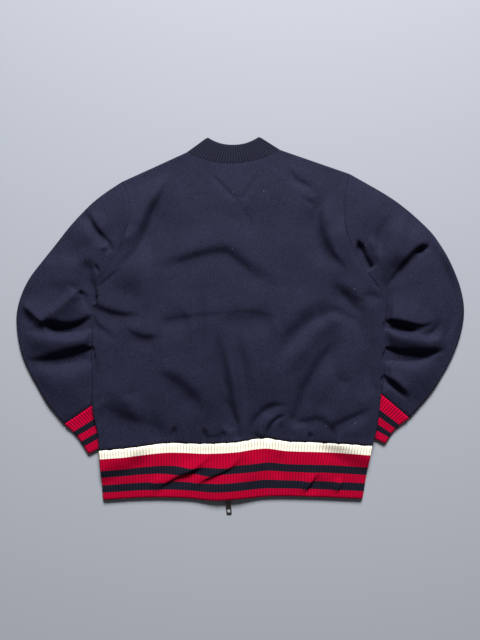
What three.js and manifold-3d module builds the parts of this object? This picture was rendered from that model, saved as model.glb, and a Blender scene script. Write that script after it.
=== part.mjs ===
// Bomber jacket with knitted rib trims, laid face down so that its back shows.
// Millimetres. +X is the wearer's right, +Y runs from hem to collar, and +Z is up
// from the surface the jacket lies on. Plan sizes are measured from the middle of the
// hem's lower edge; at the end the jacket is centred on its own footprint.
import * as THREE from 'three';
import { mergeVertices } from 'three/addons/utils/BufferGeometryUtils.js';
import Module from 'manifold-3d';

const { smoothstep, lerp, degToRad } = THREE.MathUtils;

// Cloth
const shellWall = 2.0;        // wool shell cloth
const ribWall = 2.6;          // knitted rib
const layHeight = 7.9;        // two layers of cloth lying on each other, over the soft fold
const seamGap = 0.3;          // between pieces that are sewn together
const tuckGap = 0.7;          // air between the body and the sleeves tucked under it
const drapeStart = 34;        // the body starts to fall this far from what it lies over
const drapeEnd = 70;          // and touches the surface again here
const foldSteps = [0, 30, 60, 90].map(degToRad);   // angles round the quarter of a fold
const bumpReach = 1.9;        // a fold's bump ends this many of its widths from its line
const bodyFoldsStart = 48;    // the folds of the fronts start this far from the zip
const bodyFoldsWhole = 74;
const sleeveFoldsStart = 14;  // and those of the sleeves this far beyond the body's edge
const sleeveFoldsWhole = 40;
const armholeGap = 0.36;      // between body and sleeve across the slanting armhole

// Centre front zip
const zipX = -13;             // the zip lies this far from the hem's middle
const frontOpening = 6;       // half the space between the two front edges
const chainWidth = 2.7;       // one row of teeth
const chainHeight = 1.8;
const chainGap = 0.2;         // half the space between the two rows
const tapeWidth = 12;
const tapeWall = 1.0;
const zipFoot = 0.6;          // the zip starts this far above the hem's lower edge
const zipLiftNear = 20;       // cloth is lifted whole up to this far from the zip
const zipLiftFar = 70;        // and is back down at this far
const boxLength = 4.9;
const boxWidth = 6.4;
const boxHeight = 3.0;
const sliderLength = 10;
const sliderWidth = 10.4;
const plateWall = 1.1;
const plateGap = 0.2;         // between the teeth and the slider's plates
const neckWidth = 2.2;        // wedge that parts the two rows of teeth
const neckLength = 2.6;
const bridgeWidth = 1.8;
const bridgeLength = 8.4;
const bridgeWall = 0.95;
const legSlope = 0.6;         // how far the bridge's legs lean
const pullWidth = 10;
const pullLength = 42;
const pullWall = 1.5;
const pullDroop = 1.9;        // degrees below level, so that its end is near the surface
const pullLean = 5;           // degrees towards the right, on the play of its eye
const pullPivotHeight = 2.2;
const bridgeClearance = 1.25; // from the pivot to the inside of the bridge
const stopLength = 3;

// Side edge of each half, from the hem seam up to the underarm and on round the armhole
const leftEdge = [
  { y: 94, x: -263.6 }, { y: 134, x: -268 }, { y: 164, x: -276 }, { y: 238, x: -279 },
  { y: 329, x: -280 }, { y: 363, x: -278 }, { y: 391, x: -271.5 }, { y: 412, x: -275.5 },
  { y: 441, x: -256 }, { y: 467, x: -238.5 }, { y: 510, x: -222.5 }, { y: 546, x: -212.5 },
  { y: 577, x: -210.5 }, { y: 602, x: -215.5 }, { y: 629, x: -229 },
];
const rightEdge = [
  { y: 103, x: 269.7 }, { y: 119, x: 275 }, { y: 161, x: 283.5 }, { y: 205, x: 289 },
  { y: 239, x: 295 }, { y: 284, x: 298.5 }, { y: 330, x: 300 }, { y: 360, x: 302 },
  { y: 381, x: 304 }, { y: 402, x: 303.5 }, { y: 440, x: 274.5 }, { y: 465, x: 256.5 },
  { y: 496, x: 235.5 }, { y: 530, x: 223.5 }, { y: 567, x: 221.5 }, { y: 605, x: 224.5 },
  { y: 646, x: 234 },
];
const underarm = { left: 412, right: 402 };        // where side seam and armhole meet
const tuckTop = { left: 480, right: 490 };         // below this the sleeve goes under the body

// Back of the hem seam, from the left side to the right
const hemSeam = [
  { x: -263.6, y: 94 }, { x: -218, y: 98 }, { x: -173, y: 103 }, { x: -141, y: 106.5 },
  { x: -54, y: 106 }, { x: 12, y: 110 }, { x: 42, y: 115 }, { x: 65, y: 116.5 },
  { x: 101, y: 111 }, { x: 161, y: 108.5 }, { x: 221, y: 106.5 }, { x: 269.7, y: 103 },
];
const hemFoot = [
  { x: -256, y: -2 }, { x: -188, y: 2 }, { x: -98, y: 1.5 }, { x: -38, y: -3 },
  { x: 12, y: 0 }, { x: 71, y: 4.5 }, { x: 161, y: 3.5 }, { x: 251, y: 0 },
];

// Shoulders and neck
const neckLeft = { x: -96, y: 691 };
const neckRight = { x: 93, y: 696 };
const shoulderLeft = { x: -229, y: 629 };
const shoulderRight = { x: 234, y: 646 };
const backNeckDrop = 26;      // middle of the back neck below the neck points
const frontNeckY = 600;       // front neck at the zip
const collarPeakLeft = { x: -57, y: 720.5 };
const collarPeakRight = { x: 53, y: 722 };
const collarDip = 15.5;       // middle of the collar's upper edge below its peaks
const frontCollarTop = 640;   // collar's upper edge at the zip

// Sleeve: a row for each section from armhole to cuff. The outer point is on the long fold
// below the shoulder, the inner point on the fold that is tucked under the body, and bow is
// how much of the armhole's curve the section keeps.
const sleeveLeft = [
  { outerX: -229, outerY: 629, innerX: -215, innerY: 398, bow: 1 },
  { outerX: -262, outerY: 606, innerX: -219, innerY: 387, bow: 0.75 },
  { outerX: -292, outerY: 581, innerX: -223, innerY: 376, bow: 0.5 },
  { outerX: -326, outerY: 544, innerX: -227, innerY: 364, bow: 0.3 },
  { outerX: -357, outerY: 504, innerX: -230, innerY: 351, bow: 0.15 },
  { outerX: -385, outerY: 466, innerX: -233, innerY: 338, bow: 0.05 },
  { outerX: -409, outerY: 433, innerX: -235, innerY: 324, bow: 0 },
  { outerX: -425, outerY: 400, innerX: -237, innerY: 309, bow: 0 },
  { outerX: -433.5, outerY: 365, innerX: -238.5, innerY: 294, bow: 0 },
  { outerX: -433, outerY: 333, innerX: -240, innerY: 279, bow: 0 },
  { outerX: -427.5, outerY: 302, innerX: -242, innerY: 264, bow: 0 },
  { outerX: -415, outerY: 266, innerX: -244, innerY: 249, bow: 0 },
  { outerX: -396, outerY: 230, innerX: -247, innerY: 233, bow: 0 },
  { outerX: -370, outerY: 187, innerX: -251, innerY: 216, bow: 0 },
  { outerX: -334, outerY: 144, innerX: -256.5, innerY: 197, bow: 0 },
];
const sleeveRight = [
  { outerX: 234, outerY: 646, innerX: 226, innerY: 392, bow: 1 },
  { outerX: 269, outerY: 626, innerX: 231, innerY: 380, bow: 0.75 },
  { outerX: 300, outerY: 607.5, innerX: 236, innerY: 369, bow: 0.5 },
  { outerX: 334, outerY: 584, innerX: 241, innerY: 357, bow: 0.3 },
  { outerX: 369, outerY: 554, innerX: 245, innerY: 345, bow: 0.15 },
  { outerX: 399, outerY: 523, innerX: 249, innerY: 332, bow: 0.05 },
  { outerX: 422, outerY: 486, innerX: 252, innerY: 319, bow: 0 },
  { outerX: 440, outerY: 448, innerX: 254.5, innerY: 305, bow: 0 },
  { outerX: 453, outerY: 409, innerX: 256.5, innerY: 291, bow: 0 },
  { outerX: 458, outerY: 371, innerX: 258, innerY: 278, bow: 0 },
  { outerX: 454, outerY: 334, innerX: 259.5, innerY: 265, bow: 0 },
  { outerX: 441, outerY: 294, innerX: 261.5, innerY: 253, bow: 0 },
  { outerX: 420, outerY: 252, innerX: 264, innerY: 242, bow: 0 },
  { outerX: 386, outerY: 202, innerX: 267.5, innerY: 231, bow: 0 },
  { outerX: 345, outerY: 156, innerX: 271.5, innerY: 219, bow: 0 },
];
const cuffLeft = [
  { outerX: -334, outerY: 144, innerX: -256.5, innerY: 197, bow: 0 },
  { outerX: -307.5, outerY: 118.5, innerX: -235, innerY: 160.5, bow: 0 },
  { outerX: -285.5, outerY: 86, innerX: -214, innerY: 124, bow: 0 },
];
const cuffRight = [
  { outerX: 345, outerY: 156, innerX: 271.5, innerY: 219, bow: 0 },
  { outerX: 316, outerY: 133, innerX: 247, innerY: 182, bow: 0 },
  { outerX: 297.5, outerY: 106, innerX: 224, innerY: 140, bow: 0 },
];

// Largest folds: both layers rise together along each line
const bodyFolds = [
  { fromX: -165, fromY: 640, toX: -196, toY: 575, height: 4.5, width: 15 },
  { fromX: -196, fromY: 575, toX: -228, toY: 492, height: 5, width: 15 },
  { fromX: 128, fromY: 655, toX: 178, toY: 575, height: 3.5, width: 16 },
  { fromX: 190, fromY: 545, toX: 235, toY: 470, height: 4.5, width: 16 },
  { fromX: -148, fromY: 462, toX: -42, toY: 512, height: 3.5, width: 15 },
  { fromX: -42, fromY: 512, toX: 38, toY: 446, height: 4.5, width: 15 },
  { fromX: 38, fromY: 446, toX: 96, toY: 424, height: 3.5, width: 15 },
  { fromX: 97, fromY: 272, toX: 170, toY: 324, height: 5, width: 20 },
  { fromX: 170, fromY: 324, toX: 262, toY: 352, height: 4, width: 18 },
  { fromX: 132, fromY: 160, toX: 188, toY: 275, height: 5, width: 19 },
  { fromX: 30, fromY: 148, toX: 88, toY: 188, height: 5, width: 19 },
  { fromX: -175, fromY: 205, toX: -100, toY: 135, height: 4.5, width: 20 },
  { fromX: -262, fromY: 342, toX: -180, toY: 332, height: 3, width: 15 },
];
const leftSleeveFolds = [
  { fromX: -311, fromY: 407, toX: -379, toY: 349, height: 13, width: 15 },
  { fromX: -428, fromY: 380, toX: -379, toY: 349, height: 10, width: 14 },
  { fromX: -392, fromY: 302, toX: -290, toY: 309, height: 11, width: 15 },
  { fromX: -298, fromY: 588, toX: -262, toY: 508, height: 6, width: 14 },
  { fromX: -326, fromY: 468, toX: -288, toY: 424, height: 7, width: 14 },
  { fromX: -366, fromY: 474, toX: -412, toY: 412, height: 4, width: 22 },
  { fromX: -384, fromY: 236, toX: -290, toY: 252, height: 6, width: 19 },
];
const rightSleeveFolds = [
  { fromX: 306, fromY: 352, toX: 372, toY: 334, height: 12, width: 15 },
  { fromX: 372, fromY: 334, toX: 412, toY: 366, height: 11, width: 15 },
  { fromX: 306, fromY: 307, toX: 424, toY: 299, height: 11, width: 14 },
  { fromX: 320, fromY: 556, toX: 288, toY: 452, height: 7, width: 18 },
  { fromX: 390, fromY: 500, toX: 312, toY: 432, height: 7, width: 15 },
  { fromX: 306, fromY: 262, toX: 404, toY: 254, height: 6, width: 18 },
  { fromX: 300, fromY: 228, toX: 338, toY: 192, height: 5, width: 14 },
];

// Height of the zip's middle plane: it is lifted by its own hardware at the hem
const zipRise = [
  { y: 0, z: 5.65 }, { y: 25, z: 5.65 }, { y: 60, z: 4.3 }, { y: 115, z: 3.4 },
  { y: 150, z: 2.8 }, { y: 560, z: 2.8 }, { y: 590, z: 3.4 }, { y: 640, z: 3.4 },
];
// Half the extra space between the two rows of teeth, opened by the slider
const zipSpread = [
  { y: 0, x: 0 }, { y: 7, x: 0 }, { y: 12.5, x: 1.3 }, { y: 24, x: 1.3 }, { y: 62, x: 0 },
  { y: 640, x: 0 },
];

const navyWool = new THREE.MeshStandardMaterial({ color: 0x2b2c42, roughness: 0.95 });
const navyRib = new THREE.MeshStandardMaterial({ color: 0x2a2a42, roughness: 0.9 });
const redRib = new THREE.MeshStandardMaterial({ color: 0xb0092e, roughness: 0.85 });
const tapeCloth = new THREE.MeshStandardMaterial({ color: 0x1c1d2b, roughness: 0.9 });
const darkMetal = new THREE.MeshStandardMaterial({
  color: 0x4a433f, roughness: 0.4, metalness: 0.9,
});

// Value of one column of a table at a place along another, in straight steps
function readTable(table, key, at, column) {
  const last = table.length - 1;
  if (at <= table[0][key]) return table[0][column];
  if (at >= table[last][key]) return table[last][column];
  const next = table.findIndex((row) => row[key] > at);
  const low = table[next - 1];
  const high = table[next];
  return lerp(low[column], high[column], (at - low[key]) / (high[key] - low[key]));
}

function distanceToLine(x, y, from, to) {
  const spanX = to.x - from.x;
  const spanY = to.y - from.y;
  const share = ((x - from.x) * spanX + (y - from.y) * spanY) / (spanX ** 2 + spanY ** 2);
  const held = THREE.MathUtils.clamp(share, 0, 1);
  return Math.hypot(x - from.x - held * spanX, y - from.y - held * spanY);
}

function insideOutline(x, y, outline) {
  let inside = false;
  outline.forEach((a, i) => {
    const b = outline[(i + 1) % outline.length];
    const crosses = (a.y > y) !== (b.y > y);
    if (crosses && x < a.x + ((y - a.y) / (b.y - a.y)) * (b.x - a.x)) inside = !inside;
  });
  return inside;
}

function foldHeight(folds, x, y) {
  return folds.reduce((highest, fold) => {
    const from = { x: fold.fromX, y: fold.fromY };
    const to = { x: fold.toX, y: fold.toY };
    const away = distanceToLine(x, y, from, to) / (fold.width * bumpReach);
    return Math.max(highest, fold.height * Math.max(0, 1 - away * away) ** 3);
  }, 0);
}

// What lies under the body: each sleeve and cuff in plan, and the edge of it that is tucked
function sleeveFootprint(sleeve, cuff, edge, top) {
  const rows = [...sleeve, ...cuff.slice(1)];
  const inner = rows.map((row) => ({ x: row.innerX, y: row.innerY }));
  const outer = rows.map((row) => ({ x: row.outerX, y: row.outerY }));
  const start = { x: readTable(edge, 'y', top, 'x'), y: top };
  const tucked = [start, ...inner, outer[outer.length - 1]];
  return { outline: [start, ...inner, ...outer.reverse()], tucked };
}
const footprints = {
  left: sleeveFootprint(sleeveLeft, cuffLeft, leftEdge, tuckTop.left),
  right: sleeveFootprint(sleeveRight, cuffRight, rightEdge, tuckTop.right),
};
const fullDrape = layHeight + tuckGap;

function drapeOver(x, y) {
  const { outline, tucked } = x < 0 ? footprints.left : footprints.right;
  const besideArmhole = y > (x < 0 ? tuckTop.left : tuckTop.right);
  if (!besideArmhole && insideOutline(x, y, outline)) return fullDrape;
  let away = Infinity;
  for (let i = 1; i < tucked.length; i += 1) {
    away = Math.min(away, distanceToLine(x, y, tucked[i - 1], tucked[i]));
  }
  return fullDrape * (1 - smoothstep(away, drapeStart, drapeEnd));
}

const zipHeight = (y) => readTable(zipRise, 'y', y, 'z');

function zipLift(x, y, wall) {
  const lift = Math.max(0, zipHeight(y) - tapeWall / 2 - seamGap - wall);
  return lift * (1 - smoothstep(Math.abs(x - zipX), zipLiftNear, zipLiftFar));
}

// Height of the lowest cloth of the body above the surface
function backLift(x, y) {
  return drapeOver(x, y) + zipLift(x, y, shellWall) + foldHeight(bodyFolds, x, y);
}
function frontLift(x, y, wall) {
  const clearOfZip = smoothstep(Math.abs(x - zipX), bodyFoldsStart, bodyFoldsWhole);
  return drapeOver(x, y) + zipLift(x, y, wall) + clearOfZip * foldHeight(bodyFolds, x, y);
}

// Closed wall between two grids of points. A ring closes on itself along its rows.
function wallGeometry(outside, inside, ring = false) {
  const rows = outside.length;
  const columns = outside[0].length;
  const points = [...outside.flat(), ...inside.flat()];
  const innerStart = rows * columns;
  const at = (row, column, side) => side * innerStart + row * columns + (column % columns);
  const index = [];
  const quad = (a, b, c, d) => index.push(a, b, c, a, c, d);
  const spans = ring ? columns : columns - 1;
  for (let i = 0; i < rows - 1; i += 1) {
    for (let j = 0; j < spans; j += 1) {
      quad(at(i, j, 0), at(i, j + 1, 0), at(i + 1, j + 1, 0), at(i + 1, j, 0));
      quad(at(i, j, 1), at(i + 1, j, 1), at(i + 1, j + 1, 1), at(i, j + 1, 1));
    }
  }
  for (let j = 0; j < spans; j += 1) {
    quad(at(0, j, 0), at(0, j, 1), at(0, j + 1, 1), at(0, j + 1, 0));
    quad(at(rows - 1, j, 0), at(rows - 1, j + 1, 0), at(rows - 1, j + 1, 1), at(rows - 1, j, 1));
  }
  for (let i = 0; i < rows - 1 && !ring; i += 1) {
    const end = columns - 1;
    quad(at(i, 0, 0), at(i + 1, 0, 0), at(i + 1, 0, 1), at(i, 0, 1));
    quad(at(i, end, 0), at(i, end, 1), at(i + 1, end, 1), at(i + 1, end, 0));
  }
  const geometry = new THREE.BufferGeometry().setFromPoints(points);
  geometry.setIndex(enclosedVolume(points, index) < 0 ? index.reverse() : index);
  geometry.computeVertexNormals();
  return geometry;
}

function enclosedVolume(points, index) {
  let volume = 0;
  for (let i = 0; i < index.length; i += 3) {
    const [a, b, c] = [points[index[i]], points[index[i + 1]], points[index[i + 2]]];
    volume += a.dot(new THREE.Vector3().crossVectors(b, c)) / 6;
  }
  return volume;
}

// Plan of the body

// Rows of the panels. part runs 0 to 1 up the side seam, 1 to 2 round the armhole where it
// lies over the sleeve, and 2 to 3 where it is sewn flush with it, up to the shoulder fold.
// rise is a length in millimetres.
const foldRadius = layHeight / 2;
const foldInsets = foldSteps.map((angle) => foldRadius * (1 - Math.cos(angle)));
const partSpans = [11, 3, 4];
const flushPart = 2;
const shoulderPart = 3;
const panelRows = [
  ...partSpans.flatMap((spans, part) =>
    Array.from({ length: spans }, (_, i) => ({ part: part + i / spans, rise: 0 }))),
  ...foldInsets.slice().reverse().map((inset) => ({ part: shoulderPart, rise: -inset })),
];

function edgeHeight(side, row) {
  const edge = side === 'left' ? leftEdge : rightEdge;
  const stops = [edge[0].y, underarm[side], tuckTop[side], edge[edge.length - 1].y];
  const part = Math.min(Math.floor(row.part), shoulderPart - 1);
  return lerp(stops[part], stops[part + 1], row.part - part) + row.rise;
}

function edgePoint(side, row) {
  const y = edgeHeight(side, row);
  return { x: readTable(side === 'left' ? leftEdge : rightEdge, 'y', y, 'x'), y };
}

function shoulderLine(x) {
  if (x <= neckLeft.x) {
    return lerp(shoulderLeft.y, neckLeft.y, (x - shoulderLeft.x) / (neckLeft.x - shoulderLeft.x));
  }
  return lerp(neckRight.y, shoulderRight.y, (x - neckRight.x) / (shoulderRight.x - neckRight.x));
}

// Upper edge of a panel: shoulder, then the neck between the two neck points
function topLine(x, panel) {
  if (x <= neckLeft.x || x >= neckRight.x) return shoulderLine(x);
  const across = (x - neckLeft.x) / (neckRight.x - neckLeft.x);
  const neckPoint = lerp(neckLeft.y, neckRight.y, across);
  const reach = Math.abs(2 * across - 1);
  if (panel === 'back') return neckPoint - backNeckDrop * (1 - reach ** 2.2);
  return lerp(frontNeckY, neckPoint, reach ** 1.6);
}

const lineBetween = (x, a, b) => lerp(a.y, b.y, (x - a.x) / (b.x - a.x));

// Point of a panel in plan, at a place between its two sides on one row
function panelPlan(across, inset, row, panel) {
  const left = edgePoint('left', row);
  const right = edgePoint('right', row);
  const x = lerp(left.x, right.x, across) + inset;
  const y = lineBetween(x, left, right);
  if (row.part < 1) {
    const foot = lerp(leftEdge[0].x, rightEdge[0].x, across) + inset;
    const wave = readTable(hemSeam, 'x', foot, 'y') - lineBetween(foot, hemSeam[0], hemSeam.at(-1));
    return { x, y: y + wave * (1 - row.part) };
  }
  const tip = lerp(shoulderLeft.x, shoulderRight.x, across) + inset;
  const rise = topLine(tip, panel) - lineBetween(tip, shoulderLeft, shoulderRight);
  const share = (left.y - row.rise - underarm.left) / (shoulderLeft.y - underarm.left);
  return { x, y: y + rise * share };
}

// Columns of the panels, with one at each neck point. Insets are lengths in millimetres.
const shoulderWidth = shoulderRight.x - shoulderLeft.x;
const neckStart = (neckLeft.x - shoulderLeft.x) / shoulderWidth;
const neckEnd = (neckRight.x - shoulderLeft.x) / shoulderWidth;
const zipShare = (zipX - shoulderLeft.x) / shoulderWidth;
const spread = (from, to, spans) =>
  Array.from({ length: spans }, (_, i) => lerp(from, to, (i + 1) / spans));
const backColumns = [
  ...foldInsets.map((inset, i) => ({ across: 0, inset, angle: foldSteps[i] })),
  ...[...spread(0, neckStart, 4), ...spread(neckStart, neckEnd, 7), ...spread(neckEnd, 1, 4)]
    .slice(0, -1)
    .map((across) => ({ across, inset: 0, angle: Math.PI / 2 })),
  ...foldInsets.map((inset, i) => ({ across: 1, inset: -inset, angle: foldSteps[i] })).reverse(),
];
const frontSpans = { shoulder: 4, neck: 3 };

// Columns of one front, from its side to the zip, as plan points on a row
function frontPlan(side, row) {
  const out = side === 'left' ? 1 : -1;
  const edge = side === 'left' ? 0 : 1;
  const neck = side === 'left' ? neckStart : neckEnd;
  const columns = [
    ...foldInsets.map((inset, i) => ({ across: edge, inset: out * inset, angle: foldSteps[i] })),
    ...[...spread(edge, neck, frontSpans.shoulder), ...spread(neck, zipShare, frontSpans.neck)]
      .map((across) => ({ across, inset: 0, angle: Math.PI / 2 })),
  ];
  const points = columns.map((column) => ({
    ...panelPlan(column.across, column.inset, row, 'front'), angle: column.angle,
  }));
  // The last columns close up to the zip's edge, which is straight
  const zipEdge = zipX - out * frontOpening;
  const nearest = points.length - 1;
  points[nearest].x = zipEdge;
  for (let k = 1; k < frontSpans.neck; k += 1) {
    const neckX = points[nearest - frontSpans.neck].x;
    points[nearest - k].x = lerp(zipEdge, neckX, k / frontSpans.neck);
  }
  return points;
}

// How far a panel point has turned down into the side fold and the shoulder fold. The side
// fold opens out up the armhole, as the body comes down off the sleeve.
function foldTurn(point, columnAngle, row) {
  const edge = edgePoint(point.x < 0 ? 'left' : 'right', row);
  const curl = row.part <= flushPart ? 1 : drapeOver(edge.x, edge.y) / fullDrape;
  const side = lerp(1, Math.sin(columnAngle), curl);
  const onShoulder = point.x < neckLeft.x + 1 || point.x > neckRight.x - 1;
  const drop = row.part === shoulderPart ? Math.min(1, -row.rise / foldRadius) : 1;
  const shoulder = onShoulder ? Math.sqrt(Math.max(0, 1 - (1 - drop) ** 2)) : 1;
  return { side, shoulder, level: Math.min(side, shoulder) };
}

// Wall of a panel from its plan points, a row at a time. Up is 1 for the back, -1 for a front.
function panelWall(plans, angles, up, liftAt) {
  const half = layHeight / 2;
  const shoulder = plans[plans.length - 1];
  const belowFold = plans[plans.length - foldSteps.length];
  const down = shoulder.map((point, j) =>
    new THREE.Vector2(belowFold[j].x - point.x, belowFold[j].y - point.y).normalize());
  const outside = [];
  const inside = [];
  plans.forEach((points, i) => {
    const outer = points.map((plan, j) => {
      const turn = foldTurn(plan, angles[j], panelRows[i]);
      const height = up * (seamGap / 2 + (half - seamGap / 2) * turn.level);
      return new THREE.Vector3(plan.x, plan.y, liftAt(plan.x, plan.y) + half + height);
    });
    const inner = outer.map((point, j) => {
      const turn = foldTurn(points[j], angles[j], panelRows[i]);
      const lean = Math.sqrt(1 - turn.level ** 2);
      const sideways = turn.side < turn.shoulder ? -Math.sign(point.x) * lean : 0;
      const along = turn.shoulder < turn.side ? down[j].clone().multiplyScalar(lean) : { x: 0, y: 0 };
      const normal = new THREE.Vector3(sideways + along.x, along.y, -up * turn.level).normalize();
      return point.clone().addScaledVector(normal, shellWall);
    });
    outside.push(outer);
    inside.push(inner);
  });
  return wallGeometry(outside, inside);
}

function backPanel() {
  const plans = panelRows.map((row) => backColumns.map((column) =>
    panelPlan(column.across, column.inset, row, 'back')));
  return panelWall(plans, backColumns.map((column) => column.angle), 1, backLift);
}

function frontPanel(side) {
  const plans = panelRows.map((row) => frontPlan(side, row));
  const liftAt = (x, y) => frontLift(x, y, shellWall);
  return panelWall(plans, plans[0].map((point) => point.angle), -1, liftAt);
}

// Sleeves and cuffs

// Places round a flattened tube: over the top from outer fold to inner fold, then back below
const tubeSpans = 7;
const tubePlaces = (() => {
  const turns = foldSteps.slice(0, -1).map((angle, i) => ({ angle, inset: foldInsets[i] }));
  const top = [
    ...turns.map(({ angle, inset }) => ({ share: 0, inset, angle })),
    ...Array.from({ length: tubeSpans + 1 }, (_, i) => ({
      share: i / tubeSpans,
      inset: i === 0 ? foldRadius : i === tubeSpans ? -foldRadius : 0,
      angle: Math.PI / 2,
    })),
    ...turns.map(({ angle, inset }) => ({ share: 1, inset: -inset, angle })).reverse(),
  ];
  const below = top.slice(1, -1).reverse().map((place) => ({ ...place, under: true }));
  return [...top, ...below];
})();
const topPlaces = tubePlaces.filter((place) => !place.under);

// Armhole end of a sleeve in plan: down the armhole's edge, then on under the body
function sleeveHead(side, end) {
  const out = side === 'left' ? -1 : 1;
  const sewn = panelRows.filter((row) => row.part >= flushPart).reverse().map((row) => {
    const point = edgePoint(side, row);
    return new THREE.Vector2(point.x + out * armholeGap, point.y);
  });
  const last = sewn[sewn.length - 1];
  const hidden = topPlaces.slice(sewn.length).map((place) => {
    const start = (sewn.length - foldSteps.length) / tubeSpans;
    const share = (place.share - start) / (1 - start);
    const length = last.distanceTo(end);
    return last.clone().lerp(end, share + place.inset / length);
  });
  return [...sewn, ...hidden];
}

function tubeSection(row, place, step, head) {
  const chord = new THREE.Vector2(row.innerX - row.outerX, row.innerY - row.outerY);
  const share = place.share + place.inset / chord.length();
  const plan = new THREE.Vector2(row.outerX, row.outerY).addScaledVector(chord, share);
  if (row.bow > 0) {
    const flat = head[0].clone().lerp(head[head.length - 1], share);
    plan.addScaledVector(head[step].clone().sub(flat), row.bow);
  }
  return plan;
}

function tubeWall(rows, wall, liftAt, head = []) {
  const outside = [];
  const inside = [];
  const topCount = topPlaces.length;
  const turns = foldSteps.length - 1;
  rows.forEach((row) => {
    const outer = [];
    const inner = [];
    const plans = topPlaces.map((place, step) => tubeSection(row, place, step, head));
    const fromOuter = plans[turns].clone().sub(plans[0]).normalize();
    const fromInner = plans[topCount - 1 - turns].clone().sub(plans[topCount - 1]).normalize();
    tubePlaces.forEach((place, i) => {
      const plan = plans[i < topCount ? i : 2 * (topCount - 1) - i];
      const inward = place.share < 0.5 ? fromOuter : fromInner;
      const up = place.under ? -1 : 1;
      const sine = Math.sin(place.angle);
      const z = liftAt(plan.x, plan.y) + layHeight / 2 + (up * layHeight / 2) * sine;
      const point = new THREE.Vector3(plan.x, plan.y, z);
      const lean = Math.cos(place.angle);
      const normal = new THREE.Vector3(inward.x * lean, inward.y * lean, -up * sine);
      outer.push(point);
      inner.push(point.clone().addScaledVector(normal.normalize(), wall));
    });
    outside.push(outer);
    inside.push(inner);
  });
  return wallGeometry(outside, inside, true);
}

function sleeve(side) {
  const out = side === 'left' ? -1 : 1;
  const rows = side === 'left' ? sleeveLeft : sleeveRight;
  const edge = side === 'left' ? leftEdge : rightEdge;
  const folds = side === 'left' ? leftSleeveFolds : rightSleeveFolds;
  const placed = rows.map((row) => ({ ...row, outerX: row.outerX + out * armholeGap }));
  const head = sleeveHead(side, new THREE.Vector2(rows[0].innerX, rows[0].innerY));
  const liftAt = (x, y) => {
    const beyond = out * (x - readTable(edge, 'y', y, 'x'));
    return smoothstep(beyond, sleeveFoldsStart, sleeveFoldsWhole) * foldHeight(folds, x, y);
  };
  return tubeWall(placed, shellWall, liftAt, head);
}

function cuff(side) {
  const rows = side === 'left' ? cuffLeft : cuffRight;
  const last = rows[rows.length - 1];
  const toward = new THREE.Vector2(last.outerX - rows[0].outerX, last.outerY - rows[0].outerY);
  toward.normalize().multiplyScalar(seamGap);
  const start = {
    ...rows[0],
    outerX: rows[0].outerX + toward.x, outerY: rows[0].outerY + toward.y,
    innerX: rows[0].innerX + toward.x, innerY: rows[0].innerY + toward.y,
  };
  return tubeWall([start, ...rows.slice(1)], ribWall, () => 0);
}

// Hem band and collar

// A band folded flat at both sides and open at the zip. Each row gives its plan points along
// the front to the left fold, over the back, and from the right fold back to the zip.
function foldedBand(rows, liftFront, liftBack) {
  const outside = [];
  const inside = [];
  const half = layHeight / 2;
  const turns = foldSteps.slice(0, -1);
  const toward = (from, to) => new THREE.Vector2(to.x - from.x, to.y - from.y).normalize();
  rows.forEach(({ frontLeft, back, frontRight }) => {
    const inwardLeft = toward(back[0], back[1]);
    const inwardRight = toward(back.at(-1), back.at(-2));
    const outer = [];
    const inner = [];
    const push = (x, y, z, nx, ny, nz) => {
      const point = new THREE.Vector3(x, y, z);
      outer.push(point);
      inner.push(point.clone().addScaledVector(new THREE.Vector3(nx, ny, nz), ribWall));
    };
    const turn = (edge, inward, angle, up) => {
      const inset = foldRadius * (1 - Math.cos(angle));
      const x = edge.x + inward.x * inset;
      const y = edge.y + inward.y * inset;
      const lift = lerp(liftFront(x, y), liftBack(x, y), 0.5 + 0.5 * up * Math.sin(angle));
      const lean = Math.cos(angle);
      push(x, y, lift + half + up * half * Math.sin(angle),
        inward.x * lean, inward.y * lean, -up * Math.sin(angle));
    };
    frontLeft.forEach((p) => push(p.x, p.y, liftFront(p.x, p.y), 0, 0, 1));
    turns.slice().reverse().forEach((angle) => turn(back[0], inwardLeft, angle, -1));
    turns.slice(1).forEach((angle) => turn(back[0], inwardLeft, angle, 1));
    const first = { x: back[0].x + inwardLeft.x * foldRadius, y: back[0].y + inwardLeft.y * foldRadius };
    const end = back[back.length - 1];
    const last = { x: end.x + inwardRight.x * foldRadius, y: end.y + inwardRight.y * foldRadius };
    [first, ...back.slice(1, -1), last].forEach((p) =>
      push(p.x, p.y, liftBack(p.x, p.y) + layHeight, 0, 0, -1));
    turns.slice(1).reverse().forEach((angle) => turn(end, inwardRight, angle, 1));
    turns.forEach((angle) => turn(end, inwardRight, angle, -1));
    frontRight.forEach((p) => push(p.x, p.y, liftFront(p.x, p.y), 0, 0, 1));
    outside.push(outer);
    inside.push(inner);
  });
  return wallGeometry(outside, inside);
}

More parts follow.
